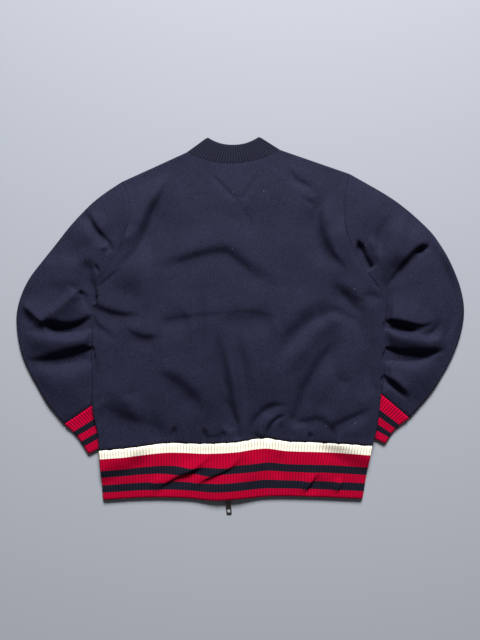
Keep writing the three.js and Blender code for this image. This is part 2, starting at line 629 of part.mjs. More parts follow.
function hemBand() {
  const hemRow = panelRows[0];
  const backTop = backColumns
    .filter((column) => column.inset === 0)
    .map((column) => panelPlan(column.across, 0, hemRow, 'back'));
  const frontTop = {
    left: frontPlan('left', hemRow).filter((p) => p.angle === Math.PI / 2).reverse(),
    right: frontPlan('right', hemRow).filter((p) => p.angle === Math.PI / 2),
  };
  const leftFoot = hemFoot[0];
  const rightFoot = hemFoot[hemFoot.length - 1];
  const [leftTop, rightTop] = [backTop[0], backTop[backTop.length - 1]];
  const toFoot = (point, down) => {
    const share = (point.x - leftTop.x) / (rightTop.x - leftTop.x);
    const footX = lerp(leftFoot.x, rightFoot.x, share);
    const atZip = Math.abs(Math.abs(point.x - zipX) - frontOpening) < 0.01;
    const x = atZip ? point.x : lerp(point.x, footX, down);
    const y = lerp(point.y - seamGap, readTable(hemFoot, 'x', footX, 'y'), down);
    return { x, y };
  };
  const rows = [0, 1 / 3, 2 / 3, 1].map((down) => ({
    frontLeft: frontTop.left.map((p) => toFoot(p, down)),
    back: backTop.map((p) => toFoot(p, down)),
    frontRight: frontTop.right.map((p) => toFoot(p, down)),
  }));
  const overSlider = (x, y) =>
    (1 - smoothstep(Math.abs(x - zipX), 12, 45)) * (1 - smoothstep(y, 18, 70));
  return foldedBand(
    rows,
    (x, y) => frontLift(x, y, ribWall),
    (x, y) => backLift(x, y) + 0.8 * overSlider(x, y),
  );
}

function collar() {
  const neckRow = panelRows[panelRows.length - 1];
  const backSeam = backColumns
    .filter((column) => column.across >= neckStart - 1e-6 && column.across <= neckEnd + 1e-6)
    .map((column) => panelPlan(column.across, 0, neckRow, 'back'));
  const neckSide = (side) => frontPlan(side, neckRow).slice(-frontSpans.neck);
  const frontSeam = { left: neckSide('left').reverse(), right: neckSide('right') };
  const peakLine = (x) => {
    const reach = (2 * (x - collarPeakLeft.x)) / (collarPeakRight.x - collarPeakLeft.x) - 1;
    return lineBetween(x, collarPeakLeft, collarPeakRight) - collarDip * (1 - Math.abs(reach) ** 2.2);
  };
  const backUp = (point, i, up) => {
    const topX = lerp(collarPeakLeft.x, collarPeakRight.x, i / (backSeam.length - 1));
    return { x: lerp(point.x, topX, up), y: lerp(point.y + seamGap, peakLine(topX), up) };
  };
  const frontUp = (point, peak, neck, up) => {
    const centre = zipX + Math.sign(peak.x) * frontOpening;
    const share = (point.x - centre) / (neck.x - centre);
    const topX = lerp(centre, peak.x, share);
    const topY = lerp(frontCollarTop, peak.y, share ** 1.4);
    return { x: lerp(point.x, topX, up), y: lerp(point.y + seamGap, topY, up) };
  };
  const rows = [0, 1 / 3, 2 / 3, 1].map((up) => ({
    frontLeft: frontSeam.left.map((p) => frontUp(p, collarPeakLeft, neckLeft, up)),
    back: backSeam.map((p, i) => backUp(p, i, up)),
    frontRight: frontSeam.right.map((p) => frontUp(p, collarPeakRight, neckRight, up)),
  }));
  return foldedBand(rows, (x, y) => frontLift(x, y, ribWall), backLift);
}

// Zip

const zipTop = frontCollarTop;
const chainFoot = zipFoot + boxLength + seamGap;

// Flat strip along the zip, between two distances from its middle line
function zipStrip(side, from, to, height, footY, topY) {
  const out = side === 'left' ? -1 : 1;
  const stations = [footY, 8, 12.5, 24, 43, 62, 90, 115, 150, 300, 430, 560, 590, topY];
  const rows = stations.map((y) => {
    const apart = readTable(zipSpread, 'y', y, 'x');
    const z = zipHeight(y);
    return [from + apart, to].map((x) => ({ x: out * x, y, z }));
  });
  const level = (offset) => rows.map((row) =>
    row.map((p) => new THREE.Vector3(p.x, p.y, p.z + offset)));
  return wallGeometry(level(height / 2), level(-height / 2));
}

function zipTape(side) {
  const from = chainGap + chainWidth + seamGap;
  return zipStrip(side, from, from + tapeWidth, tapeWall, zipFoot, zipTop);
}

function zipChain(side) {
  const out = side === 'left' ? -1 : 1;
  const stations = [chainFoot, 8, 12.5, 24, 43, 62, 90, 115, 150, 300, 430, 560, 590,
    zipTop - stopLength - seamGap];
  const level = (offset) => stations.map((y) => {
    const apart = chainGap + readTable(zipSpread, 'y', y, 'x');
    return [apart, apart + chainWidth].map((x) =>
      new THREE.Vector3(out * x, y, zipHeight(y) + offset));
  });
  return wallGeometry(level(chainHeight / 2), level(-chainHeight / 2));
}

function block(width, length, height, x, y, z) {
  return new THREE.BoxGeometry(width, length, height).translate(x, y, z);
}

const wasm = await Module();
wasm.setup();

function toSolid(geometry) {
  const bare = geometry.index ? geometry.clone() : geometry;
  bare.deleteAttribute('normal');
  bare.deleteAttribute('uv');
  const merged = mergeVertices(bare, 1e-4);
  return new wasm.Manifold(new wasm.Mesh({
    numProp: 3,
    vertProperties: new Float32Array(merged.attributes.position.array),
    triVerts: new Uint32Array(merged.index.array),
  }));
}

function toGeometry(solid) {
  const mesh = solid.getMesh();
  const geometry = new THREE.BufferGeometry();
  geometry.setAttribute('position', new THREE.BufferAttribute(mesh.vertProperties, 3));
  geometry.setIndex(new THREE.BufferAttribute(mesh.triVerts, 1));
  geometry.computeVertexNormals();
  return geometry;
}

const sliderFoot = chainFoot + 0.2;
const sliderMiddle = sliderFoot + sliderLength / 2;
const zipMiddle = zipHeight(0);

// Two plates, the wedge between them, and the bridge below that holds the pull
function slider() {
  const plateAt = chainHeight / 2 + plateGap + plateWall / 2;
  const lower = zipMiddle - plateAt;
  const upper = zipMiddle + plateAt;
  const neckY = sliderFoot + sliderLength - neckLength / 2;
  const outline = new THREE.Shape();
  const top = lower - plateWall / 2 + 0.1;
  const foot = pullPivotHeight - bridgeClearance - bridgeWall;
  outline.moveTo(-bridgeLength / 2, top);
  outline.lineTo(-bridgeLength / 2 + 2 * legSlope, foot);
  outline.lineTo(bridgeLength / 2 - 2 * legSlope, foot);
  outline.lineTo(bridgeLength / 2, top);
  outline.lineTo(bridgeClearance + legSlope, top);
  outline.lineTo(bridgeClearance, foot + bridgeWall);
  outline.lineTo(-bridgeClearance, foot + bridgeWall);
  outline.lineTo(-bridgeClearance - legSlope, top);
  const bridge = new THREE.ExtrudeGeometry(outline, { depth: bridgeWidth, bevelEnabled: false });
  // The outline is drawn along the zip and upright, and is extruded across it
  bridge.rotateX(Math.PI / 2).rotateZ(Math.PI / 2);
  bridge.translate(-bridgeWidth / 2, sliderMiddle, 0);
  const pieces = [
    block(sliderWidth, sliderLength, plateWall, 0, sliderMiddle, lower),
    block(sliderWidth, sliderLength, plateWall, 0, sliderMiddle, upper),
    block(neckWidth, neckLength, 2 * plateAt, 0, neckY, zipMiddle),
    bridge,
  ];
  return toGeometry(pieces.map(toSolid).reduce((whole, piece) => whole.add(piece)));
}

// Flat tab with an eye round the bridge and a window near its free end
function pull() {
  const rounded = (path, x0, x1, y0, y1, r) => {
    path.moveTo(x0 + r, y0);
    path.lineTo(x1 - r, y0);
    path.absarc(x1 - r, y0 + r, r, -Math.PI / 2, 0);
    path.lineTo(x1, y1 - r);
    path.absarc(x1 - r, y1 - r, r, 0, Math.PI / 2);
    path.lineTo(x0 + r, y1);
    path.absarc(x0 + r, y1 - r, r, Math.PI / 2, Math.PI);
    path.lineTo(x0, y0 + r);
    path.absarc(x0 + r, y0 + r, r, Math.PI, 1.5 * Math.PI);
    return path;
  };
  const bar = 0.65;
  const eyeHalf = bridgeWidth / 2 + 1.1;
  const outline = new THREE.Shape();
  // Narrow head at the pivot, widening to the full tab
  outline.moveTo(-eyeHalf - 1.5, bar);
  outline.lineTo(-eyeHalf - 1.5, -11);
  outline.lineTo(-pullWidth / 2, -16);
  outline.lineTo(-pullWidth / 2, -pullLength + 2.5);
  outline.absarc(-pullWidth / 2 + 2.5, -pullLength + 2.5, 2.5, Math.PI, 1.5 * Math.PI);
  outline.absarc(pullWidth / 2 - 2.5, -pullLength + 2.5, 2.5, 1.5 * Math.PI, 2 * Math.PI);
  outline.lineTo(pullWidth / 2, -16);
  outline.lineTo(eyeHalf + 1.5, -11);
  outline.lineTo(eyeHalf + 1.5, bar);
  outline.holes.push(rounded(new THREE.Path(), -eyeHalf, eyeHalf, -7, -bar, 0.6));
  outline.holes.push(rounded(new THREE.Path(), -3, 3, -pullLength + 3.5, -pullLength + 12, 1));
  const options = { depth: pullWall, bevelEnabled: false, curveSegments: 4 };
  return new THREE.ExtrudeGeometry(outline, options).translate(0, 0, -pullWall / 2);
}

// Assembly

const jacket = new THREE.Group();
const zip = new THREE.Group();
zip.position.x = zipX;
jacket.add(zip);

function add(name, geometry, material, group = jacket) {
  const mesh = new THREE.Mesh(geometry, material);
  mesh.name = name;
  group.add(mesh);
  return mesh;
}

add('back_panel', backPanel(), navyWool);
add('front_left', frontPanel('left'), navyWool);
add('front_right', frontPanel('right'), navyWool);
add('sleeve_left', sleeve('left'), navyWool);
add('sleeve_right', sleeve('right'), navyWool);
add('cuff_left', cuff('left'), redRib);
add('cuff_right', cuff('right'), redRib);
add('hem_band', hemBand(), redRib);
add('collar', collar(), navyRib);
for (const side of ['left', 'right']) {
  add(`zip_tape_${side}`, zipTape(side), tapeCloth, zip);
  add(`zip_chain_${side}`, zipChain(side), darkMetal, zip);
  const x = (side === 'left' ? -1 : 1) * (chainGap + chainWidth / 2);
  const stopY = zipTop - stopLength / 2;
  const stop = block(chainWidth, stopLength, chainHeight, x, stopY, zipHeight(stopY));
  add(`zip_stop_${side}`, stop, darkMetal, zip);
}
const box = block(boxWidth, boxLength, boxHeight, 0, zipFoot + boxLength / 2, zipMiddle);
add('zip_box', box, darkMetal, zip);
add('zip_slider', slider(), darkMetal, zip);
const pullTab = add('zip_pull', pull(), darkMetal, zip);
pullTab.position.set(0, sliderMiddle, pullPivotHeight);
pullTab.rotation.set(degToRad(pullDroop), 0, degToRad(pullLean));

const footprint = new THREE.Box3().setFromObject(jacket, true);
const middle = footprint.getCenter(new THREE.Vector3());
jacket.position.set(-middle.x, -middle.y, -footprint.min.z);

export default jacket;
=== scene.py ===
import math

import bmesh
import bpy
import numpy as np
from mathutils import Matrix, Vector


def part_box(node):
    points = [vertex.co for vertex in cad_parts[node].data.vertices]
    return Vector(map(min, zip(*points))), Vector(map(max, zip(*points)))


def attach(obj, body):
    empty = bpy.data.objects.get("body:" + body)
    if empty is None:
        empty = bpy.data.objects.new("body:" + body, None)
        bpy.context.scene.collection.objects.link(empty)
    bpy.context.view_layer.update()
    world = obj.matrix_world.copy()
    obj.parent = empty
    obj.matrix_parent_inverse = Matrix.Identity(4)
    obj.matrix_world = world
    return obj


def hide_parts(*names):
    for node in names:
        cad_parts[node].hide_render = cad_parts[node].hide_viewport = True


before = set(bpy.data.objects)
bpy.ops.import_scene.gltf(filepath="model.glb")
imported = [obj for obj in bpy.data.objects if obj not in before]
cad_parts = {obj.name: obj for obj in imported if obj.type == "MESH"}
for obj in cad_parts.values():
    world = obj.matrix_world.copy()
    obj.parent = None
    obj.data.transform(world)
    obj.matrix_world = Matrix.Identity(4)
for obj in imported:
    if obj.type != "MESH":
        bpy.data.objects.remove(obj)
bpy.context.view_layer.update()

zipBoxLow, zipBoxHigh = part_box("zip_box")
zipX, zipFoot = -13, 0.6  # where the zip's middle and the foot of its box lie in these measures
planPlace = np.array([500 * (zipBoxLow.x + zipBoxHigh.x) - zipX, 1000 * zipBoxLow.y - zipFoot, 0])
sides = ("left", "right")
outward = {"left": -1, "right": 1}

cloth = {
    "shellWall": 2.0,
    "ribWall": 2.6,
    "layHeight": 7.9,  # two layers of cloth lying on each other, over the soft fold
    "seamGap": 0.3,
    "armholeGap": 0.36,
    "tuckGap": 0.7,  # air between the body and the sleeves tucked under it
    "drapeFall": (34, 70),  # the body comes down between these distances from what it lies over
    "foldStep": 15,  # degrees, round the quarter of a fold
    "step": 2.9,  # between mesh lines on the shell cloth
    "seamDip": 0.9,  # cloth turns down into its seams
    "flushDip": 0.6,  # less where two panels are pressed flush
    "seamSoft": 1.5,
    "neckDip": 0.15,
    "turningsLift": 0.5,  # the seam's turnings lie under the cloth and lift it
    "turningsFade": (6, 14),  # less and less between these distances from the seam
    "flushLift": 0.25,
    "overZip": 4.8,  # room kept for the zip under a trough
    "zipRoom": (13, 45),  # that room fades out between these distances from the zip
    "highest": 30.5,  # the highest swell over the floor
    "sharpness": 1.4,  # of the bend where a trough or swell is stopped
    "foldGain": 1.6,
    "foldSpread": 1.2,
    "foldReach": 2.8,  # widths of a fold past which it adds nothing
    "foldTip": 0.45,  # a fold narrows to this share of its width at its ends
    "waveBend": 18,  # the slow waves run this far off straight
    "waveBendLength": 0.9,  # over this share of their own length
}


def table(names, *rows):  # short rows under named columns, as one list a column
    return dict(zip(names.split(), map(list, zip(*rows))))


# Side edge of each half of the body, from the hem seam to the underarm and on round the armhole
sideEdge = {
    "left": table("y x",
        (94, -263.6), (134, -268), (164, -276), (238, -279), (329, -280), (363, -278), (391, -271.5),
        (412, -275.5), (441, -256), (467, -238.5), (510, -222.5), (546, -212.5), (577, -210.5),
        (602, -215.5), (629, -229)),
    "right": table("y x",
        (103, 269.7), (119, 275), (161, 283.5), (205, 289), (239, 295), (284, 298.5), (330, 300),
        (360, 302), (381, 304), (402, 303.5), (440, 274.5), (465, 256.5), (496, 235.5), (530, 223.5),
        (567, 221.5), (605, 224.5), (646, 234)),
}
underarm = {"left": 412, "right": 402}  # where side seam and armhole meet
tuckTop = {"left": 480, "right": 490}  # below this the sleeve goes under the body
hemSeam = table("x y",
    (-263.6, 94), (-218, 98), (-173, 103), (-141, 106.5), (-54, 106), (12, 110), (42, 115), (65, 116.5),
    (101, 111), (161, 108.5), (221, 106.5), (269.7, 103))
hemFoot = table("x y",
    (-256, -2), (-188, 2), (-98, 1.5), (-38, -3), (12, 0), (71, 4.5), (161, 3.5), (251, 0))
neck = {"left": (-96, 691), "right": (93, 696), "backDrop": 26, "frontY": 600, "backBend": 2.2,
        "frontBend": 1.6}
shoulder = {"left": (-229, 629), "right": (234, 646)}
# Sleeve sections from armhole to cuff: the long outer fold, the fold tucked under the body, and how
# much of the armhole's curve the section keeps
sleeveSections = {
    "left": table("outX outY inX inY bow",
        (-229, 629, -215, 398, 1), (-262, 606, -219, 387, 0.75), (-292, 581, -223, 376, 0.5),
        (-326, 544, -227, 364, 0.3), (-357, 504, -230, 351, 0.15), (-385, 466, -233, 338, 0.05),
        (-409, 433, -235, 324, 0), (-425, 400, -237, 309, 0), (-433.5, 365, -238.5, 294, 0),
        (-433, 333, -240, 279, 0), (-427.5, 302, -242, 264, 0), (-415, 266, -244, 249, 0),
        (-396, 230, -247, 233, 0), (-370, 187, -251, 216, 0), (-334, 144, -256.5, 197, 0)),
    "right": table("outX outY inX inY bow",
        (234, 646, 226, 392, 1), (269, 626, 231, 380, 0.75), (300, 607.5, 236, 369, 0.5),
        (334, 584, 241, 357, 0.3), (369, 554, 245, 345, 0.15), (399, 523, 249, 332, 0.05),
        (422, 486, 252, 319, 0), (440, 448, 254.5, 305, 0), (453, 409, 256.5, 291, 0),
        (458, 371, 258, 278, 0), (454, 334, 259.5, 265, 0), (441, 294, 261.5, 253, 0),
        (420, 252, 264, 242, 0), (386, 202, 267.5, 231, 0), (345, 156, 271.5, 219, 0)),
}
cuffSections = {
    "left": table("outX outY inX inY",
        (-334, 144, -256.5, 197), (-307.5, 118.5, -235, 160.5), (-285.5, 86, -214, 124)),
    "right": table("outX outY inX inY",
        (345, 156, 271.5, 219), (316, 133, 247, 182), (297.5, 106, 224, 140)),
}


def smoothStep(value, low, high):
    t = np.clip((value - low) / (high - low), 0, 1)
    return t * t * (3 - 2 * t)


def mix(a, b, share):
    return a + (b - a) * share


def readSmooth(keys, values, at):  # a smooth curve through the rows of a table
    keys = np.asarray(keys, float)
    values = np.asarray(values, float)
    slopes = np.gradient(values, keys)
    at = np.clip(at, keys[0], keys[-1])
    low = np.clip(np.searchsorted(keys, at, side="right") - 1, 0, len(keys) - 2)
    span = keys[low + 1] - keys[low]
    t = (at - keys[low]) / span
    rise = values[low + 1] - values[low]
    start = slopes[low] * span
    end = slopes[low + 1] * span
    return values[low] + t * (start + t * (3 * rise - 2 * start - end + t * (start + end - 2 * rise)))


def sideX(side, y):
    return readSmooth(sideEdge[side]["y"], sideEdge[side]["x"], y)


def lineY(line, x):
    return readSmooth(line["x"], line["y"], x)


def distanceToPath(x, y, path):  # distance, side (left is 1), share along, and the way it runs
    best = np.full(x.shape, 1e9)
    side, share, wayX, wayY = (np.zeros(x.shape) for _ in range(4))
    lengths = np.hypot(*np.diff(path, axis=0).T)
    total = lengths.sum()
    done = 0.0
    for (ax, ay), (bx, by), length in zip(path[:-1], path[1:], lengths):
        dx, dy = (bx - ax) / length, (by - ay) / length
        along = np.clip((x - ax) * dx + (y - ay) * dy, 0, length)
        away = np.hypot(x - ax - along * dx, y - ay - along * dy)
        nearer = away < best
        best = np.where(nearer, away, best)
        across = (dx * (y - ay) - dy * (x - ax)) / np.maximum(away, 1e-6)
        side = np.where(nearer, np.clip(across, -1, 1), side)
        share = np.where(nearer, (done + along) / total, share)
        wayX, wayY = np.where(nearer, dx, wayX), np.where(nearer, dy, wayY)
        done += length
    return best, side, share, wayX, wayY


def join(*parts):
    return np.concatenate(parts)


def runningTotal(line):  # length along a line of points
    return join([0], np.cumsum(np.hypot(*np.diff(line, axis=0).T)))


def smoothPath(points, spacing=9):  # more points on a smooth curve through a few
    points = np.asarray(points, float)
    if len(points) == 2:
        return points
    reach = runningTotal(points)
    at = np.linspace(0, reach[-1], max(3, int(reach[-1] / spacing)))
    return np.stack([readSmooth(reach, points[:, i], at) for i in (0, 1)], axis=1)


def insideOutline(x, y, outline):
    inside = np.zeros(x.shape, bool)
    for (ax, ay), (bx, by) in zip(outline, np.roll(outline, -1, axis=0)):
        if ay == by:
            continue
        crosses = (ay > y) != (by > y)
        inside ^= crosses & (x < ax + (y - ay) / (by - ay) * (bx - ax))
    return inside


# A fold is a ridge (or with a negative height a trough) along a path, as wide on its left and right as
# it says, fading in and out over a share of its length. One that leans has its crest drawn over to its
# left, which makes that side steep.
def fold(height, left, right, *path, lean=0, crest=2, fade=(0.4, 0.4)):
    return {"height": height, "left": left, "right": right, "path": smoothPath(path), "lean": lean,
            "crest": crest, "fade": fade}


def foldShift(folds, x, y):
    shift = np.zeros((3,) + x.shape)
    for fold in folds:
        path = fold["path"]
        reach = cloth["foldReach"] * cloth["foldSpread"] * max(fold["left"], fold["right"])
        low, high = path.min(axis=0) - reach, path.max(axis=0) + reach
        near = (x > low[0]) & (x < high[0]) & (y > low[1]) & (y < high[1])
        if not near.any():
            continue
        away, side, share, wayX, wayY = distanceToPath(x[near], y[near], path)
        fadeIn, fadeOut = fold["fade"]
        ends = smoothStep(share, 0, fadeIn) * (1 - smoothStep(share, 1 - fadeOut, 1))
        width = mix(fold["right"], fold["left"], 0.5 + 0.5 * side) * cloth["foldSpread"]
        profile = ends * np.exp(-(away / (width * mix(cloth["foldTip"], 1, ends))) ** fold["crest"])
        lean = fold["lean"] * profile
        shift[0][near] -= lean * wayY
        shift[1][near] += lean * wayX
        shift[2][near] += fold["height"] * cloth["foldGain"] * profile
    return shift


def softFloor(value):  # stops softly at zero
    return np.logaddexp(0, cloth["sharpness"] * value) / cloth["sharpness"]


def settle(z, x, wall):  # a trough stops on the layer or the zip below
    onLayer = cloth["layHeight"] - 2 * wall - cloth["seamGap"]
    onZip = cloth["layHeight"] - wall - cloth["overZip"]
    deepest = mix(onZip, onLayer, smoothStep(np.abs(x - zipX), *cloth["zipRoom"]))
    return softFloor(z + deepest) - deepest


def limitHeight(z):
    return cloth["highest"] - softFloor(cloth["highest"] - z)


# Slow unevenness of cloth that lies loose
waves = [dict(zip(("length", "turn", "phase", "height"), row)) for row in (
    (173, 24, 0.7, 0.5), (121, 103, 2.1, 0.45), (83, 61, 4.0, 0.3), (57, 148, 1.2, 0.18),
    (39, 10, 5.3, 0.1), (31, 82, 3.1, 0.08))]


def looseness(x, y):
    total = np.zeros(x.shape)
    for wave in waves:
        turn = math.radians(wave["turn"])
        bendLength = cloth["waveBendLength"] * wave["length"]
        bend = cloth["waveBend"] * np.sin((x * math.sin(turn) - y * math.cos(turn)) / bendLength)
        along = x * math.cos(turn) + y * math.sin(turn) + bend
        total += wave["height"] * np.sin(2 * math.pi * along / wave["length"] + wave["phase"])
    return total


half = cloth["layHeight"] / 2
foldAngles = np.radians(np.arange(0, 91, cloth["foldStep"]))
foldInsets = half * (1 - np.cos(foldAngles))
nearSeam = np.array([0, 0.6, 1.3, 2.2, 3.4, 5])  # mesh lines lie closer beside a seam


def sectionCurves(rows):  # the outlines of a sleeve or cuff as smooth curves
    keys = np.arange(len(rows["outX"]))
    return lambda at, name: readSmooth(keys, rows[name], at)


def edgeTrace(rows, name, start, count):  # points down the outer or inner edge
    curve = sectionCurves(rows)
    at = np.linspace(start, len(rows["outX"]) - 1, count)
    return np.stack([curve(at, name + "X"), curve(at, name + "Y")], axis=1)


def tuckedOutline(side):  # what lies under the body: sleeve and cuff in plan
    inner, outer = (join(edgeTrace(sleeveSections[side], name, 0, 60),
                         edgeTrace(cuffSections[side], name, 0.1, 10)) for name in ("in", "out"))
    start = np.array([[sideX(side, tuckTop[side]), tuckTop[side]]])
    return {"outline": join(start, inner, outer[::-1]), "tucked": join(start, inner, outer[-1:])}


tucked = {side: tuckedOutline(side) for side in sides}
fullDrape = cloth["layHeight"] + cloth["tuckGap"]


def drapeOver(x, y):
    lift = np.zeros(x.shape)
    for side in sides:
        here = (x < 0) == (side == "left")
        away = distanceToPath(x[here], y[here], tucked[side]["tucked"])[0]
        height = fullDrape * (1 - smoothStep(away, *cloth["drapeFall"]))
        over = insideOutline(x[here], y[here], tucked[side]["outline"]) & (y[here] <= tuckTop[side])
        lift[here] = np.where(over, fullDrape, height)
    return lift


def addObject(name, data):
    made = bpy.data.objects.new(name, data)
    bpy.context.scene.collection.objects.link(made)
    return made


def meshPiece(name, bm):
    mesh = bpy.data.meshes.new(name)
    bm.to_mesh(mesh)
    bm.free()
    return addObject(name, mesh)


# Making a cloth: points is an array of rows x columns x 3 in millimetres. The columns close into a
# ring for sleeves and cuffs. The map holds each point's own place on the cloth.
def gridPiece(name, points, along, down, wall, ring=False, flip=False):
    rows, columns = points.shape[:2]
    bm = bmesh.new()
    bmesh.ops.create_grid(bm, x_segments=columns - 1, y_segments=rows - 1, size=0.5)
    bm.verts.ensure_lookup_table()
    column = [round((v.co.x + 0.5) * (columns - 1)) for v in bm.verts]
    row = [round((v.co.y + 0.5) * (rows - 1)) for v in bm.verts]
    uv = bm.loops.layers.uv.new("cut")
    for face in bm.faces:
        face.smooth = True
        for loop in face.loops:
            i, j = row[loop.vert.index], column[loop.vert.index]
            loop[uv].uv = (along[i, j] / 1000, down[i, j] / 1000)
    placed = (points + planPlace) / 1000
    for v in bm.verts:
        v.co = placed[row[v.index], column[v.index]]
    if ring:
        bmesh.ops.remove_doubles(bm, verts=bm.verts, dist=1e-6)
    if flip:
        bmesh.ops.reverse_faces(bm, faces=bm.faces)
    piece = meshPiece(name, bm)
    thickness = piece.modifiers.new("wall", "SOLIDIFY")
    thickness.thickness = wall / 1000
    thickness.offset = -1
    thickness.use_rim = True
    return piece


def runningLength(points, axis):  # length along the cloth to each point, in millimetres
    steps = np.linalg.norm(np.diff(points, axis=axis), axis=2)
    start = np.zeros_like(np.take(steps, [0], axis=axis))
    return np.concatenate([start, np.cumsum(steps, axis=axis)], axis=axis)


# Cloth sinks into a seam, and rises over the turnings that lie under it
def seamDip(away, dip=cloth["seamDip"], lift=cloth["turningsLift"]):
    over = lift * (1 - smoothStep(away, *cloth["turningsFade"]))
    return over - (dip + lift) * np.exp(-(away / cloth["seamSoft"]) ** 2)


# Body panels
body = {
    "parts": (0, 1, 2, 3),  # up the side, round the tucked armhole, then where it is sewn flush
    "zipEdge": 6,  # half the space between the fronts
    # the zip's middle plane, lifted by its own hardware at the hem
    "zipHeight": table("y z", (0, 5.65), (25, 5.65), (60, 4.3), (115, 3.4), (150, 2.8), (560, 2.8),
                       (590, 3.4), (640, 3.4)),
    "tapeWall": 1.0,
    "zipSlope": (20, 70),  # the cloth comes down from the zip between these distances
    "foldClear": 1.2,  # the last row of a panel stays this far below the shoulder's fold
    "flush": (1.9, 2.2),  # a panel's side lies sewn flush past this part of it
    "neckFade": 14,
    "frontStep": 8,
    "gather": 0.8,  # height of the puckers along the hem seam
    "gatherPitch": 27,
    "gatherDrift": 41,  # their pitch drifts over this
    "gatherReach": 13,
}


def zipHeight(y):
    return np.interp(y, body["zipHeight"]["y"], body["zipHeight"]["z"])


def zipLift(x, y, wall):
    lift = np.maximum(0, zipHeight(y) - body["tapeWall"] / 2 - cloth["seamGap"] - wall)
    return lift * (1 - smoothStep(np.abs(x - zipX), *body["zipSlope"]))


def lineBetween(x, a, b):
    return a[1] + (x - a[0]) / (b[0] - a[0]) * (b[1] - a[1])


def lineEnds(line):
    return [(line["x"][i], line["y"][i]) for i in (0, -1)]


def topLine(x, panel):  # upper edge of a panel: shoulders, and the neck between them
    left = lineBetween(x, shoulder["left"], neck["left"])
    right = lineBetween(x, neck["right"], shoulder["right"])
    across = np.clip((x - neck["left"][0]) / (neck["right"][0] - neck["left"][0]), 0, 1)
    point = mix(neck["left"][1], neck["right"][1], across)
    reach = np.abs(2 * across - 1)
    if panel == "back":
        middle = point - neck["backDrop"] * (1 - reach ** neck["backBend"])
    else:
        middle = mix(neck["frontY"], point, reach ** neck["frontBend"])
    return np.where(x <= neck["left"][0], left, np.where(x >= neck["right"][0], right, middle))


def panelStops(side):
    return [sideEdge[side]["y"][0], underarm[side], tuckTop[side], sideEdge[side]["y"][-1]]


def panelRows(step):  # stations up the panel: part, and rise in millimetres
    stops = panelStops("left")
    parts = list(nearSeam / (stops[1] - stops[0]))
    for i in range(3):
        count = round((stops[i + 1] - stops[i]) / step)
        parts += list(np.linspace(i or parts[-1], i + 1, count + 1)[1:])
    parts = np.array(parts)
    parts = parts[(3 - parts) * (stops[3] - stops[2]) > half + body["foldClear"]]
    rises = -foldInsets[::-1]
    return join(parts, np.full(len(rises), 3.0)), join(np.zeros(len(parts)), rises)


def edgeLine(side, part, rise):
    y = np.interp(part, body["parts"], panelStops(side)) + rise
    return sideX(side, y), y


bodyWidth = shoulder["right"][0] - shoulder["left"][0]
neckShare = [(neck[side][0] - shoulder["left"][0]) / bodyWidth for side in sides]
zipShare = (zipX - shoulder["left"][0]) / bodyWidth


def spans(start, end, step):  # evenly spaced stations after start, to end
    count = max(1, round(abs(end - start) * bodyWidth / step))
    return np.linspace(start, end, count + 1)[1:]


def backColumns():  # share across, inset from the edge, angle round the fold
    first, middle = spans(0, neckShare[0], cloth["step"]), spans(*neckShare, cloth["step"])
    last = spans(neckShare[1], 1, cloth["step"])[:-1]
    turn = len(foldInsets)
    across = join(np.zeros(turn), first, middle, last, np.ones(turn))
    inset = join(foldInsets, half * (1 - first / neckShare[0]), 0 * middle,
                 -half * (last - neckShare[1]) / (1 - neckShare[1]), -foldInsets[::-1])
    flat = np.full(len(across) - 2 * turn, math.pi / 2)
    return across, inset, join(foldAngles, flat, foldAngles[::-1])


def frontColumns(side):  # from the side fold to the zip
    edge = sides.index(side)
    neckAt = neckShare[edge]
    first = spans(edge, neckAt, body["frontStep"])
    last = spans(neckAt, zipShare, body["frontStep"])
    across = join(np.full(len(foldInsets), edge), first, last)
    fade = np.abs(first - neckAt) / abs(edge - neckAt)
    inset = -outward[side] * join(foldInsets, half * fade, 0 * last)
    angle = join(foldAngles, np.full(len(first) + len(last), math.pi / 2))
    return across, inset, angle


def panelPlan(across, inset, part, rise, panel):
    leftX, leftY = (value[:, None] for value in edgeLine("left", part, rise))
    rightX, rightY = (value[:, None] for value in edgeLine("right", part, rise))
    part, rise = part[:, None], rise[:, None]
    x = mix(leftX, rightX, across) + inset
    y = leftY + (x - leftX) / (rightX - leftX) * (rightY - leftY)
    seamLeft, seamRight = lineEnds(hemSeam)
    foot = mix(seamLeft[0], seamRight[0], across) + inset
    wave = lineY(hemSeam, foot) - lineBetween(foot, seamLeft, seamRight)
    tip = mix(shoulder["left"][0], shoulder["right"][0], across) + inset
    top = topLine(tip, panel) - lineBetween(tip, shoulder["left"], shoulder["right"])
    share = (leftY - rise - underarm["left"]) / (shoulder["left"][1] - underarm["left"])
    return x, y + np.where(part < 1, wave * (1 - part), top * share)


def foldLevel(x, y, part, rise, angle):  # 1 where a panel lies level, 0 where it meets the other layer
    level = np.ones(x.shape)
    for side, here in (("left", x < 0), ("right", x >= 0)):
        edgeX, edgeY = edgeLine(side, part, rise)
        curl = np.where(part <= 2, 1, drapeOver(edgeX, edgeY) / fullDrape)[:, None]
        level = np.where(here, mix(1, np.sin(angle)[None, :], curl), level)
    drop = np.where(part == 3, np.minimum(1, -rise / half), 1)[:, None]
    beyondNeck = np.minimum(x - neck["left"][0], neck["right"][0] - x)
    drop = np.maximum(drop, np.clip(beyondNeck / half, 0, 1))
    return np.minimum(level, np.sqrt(np.maximum(0, 1 - (1 - drop) ** 2)))


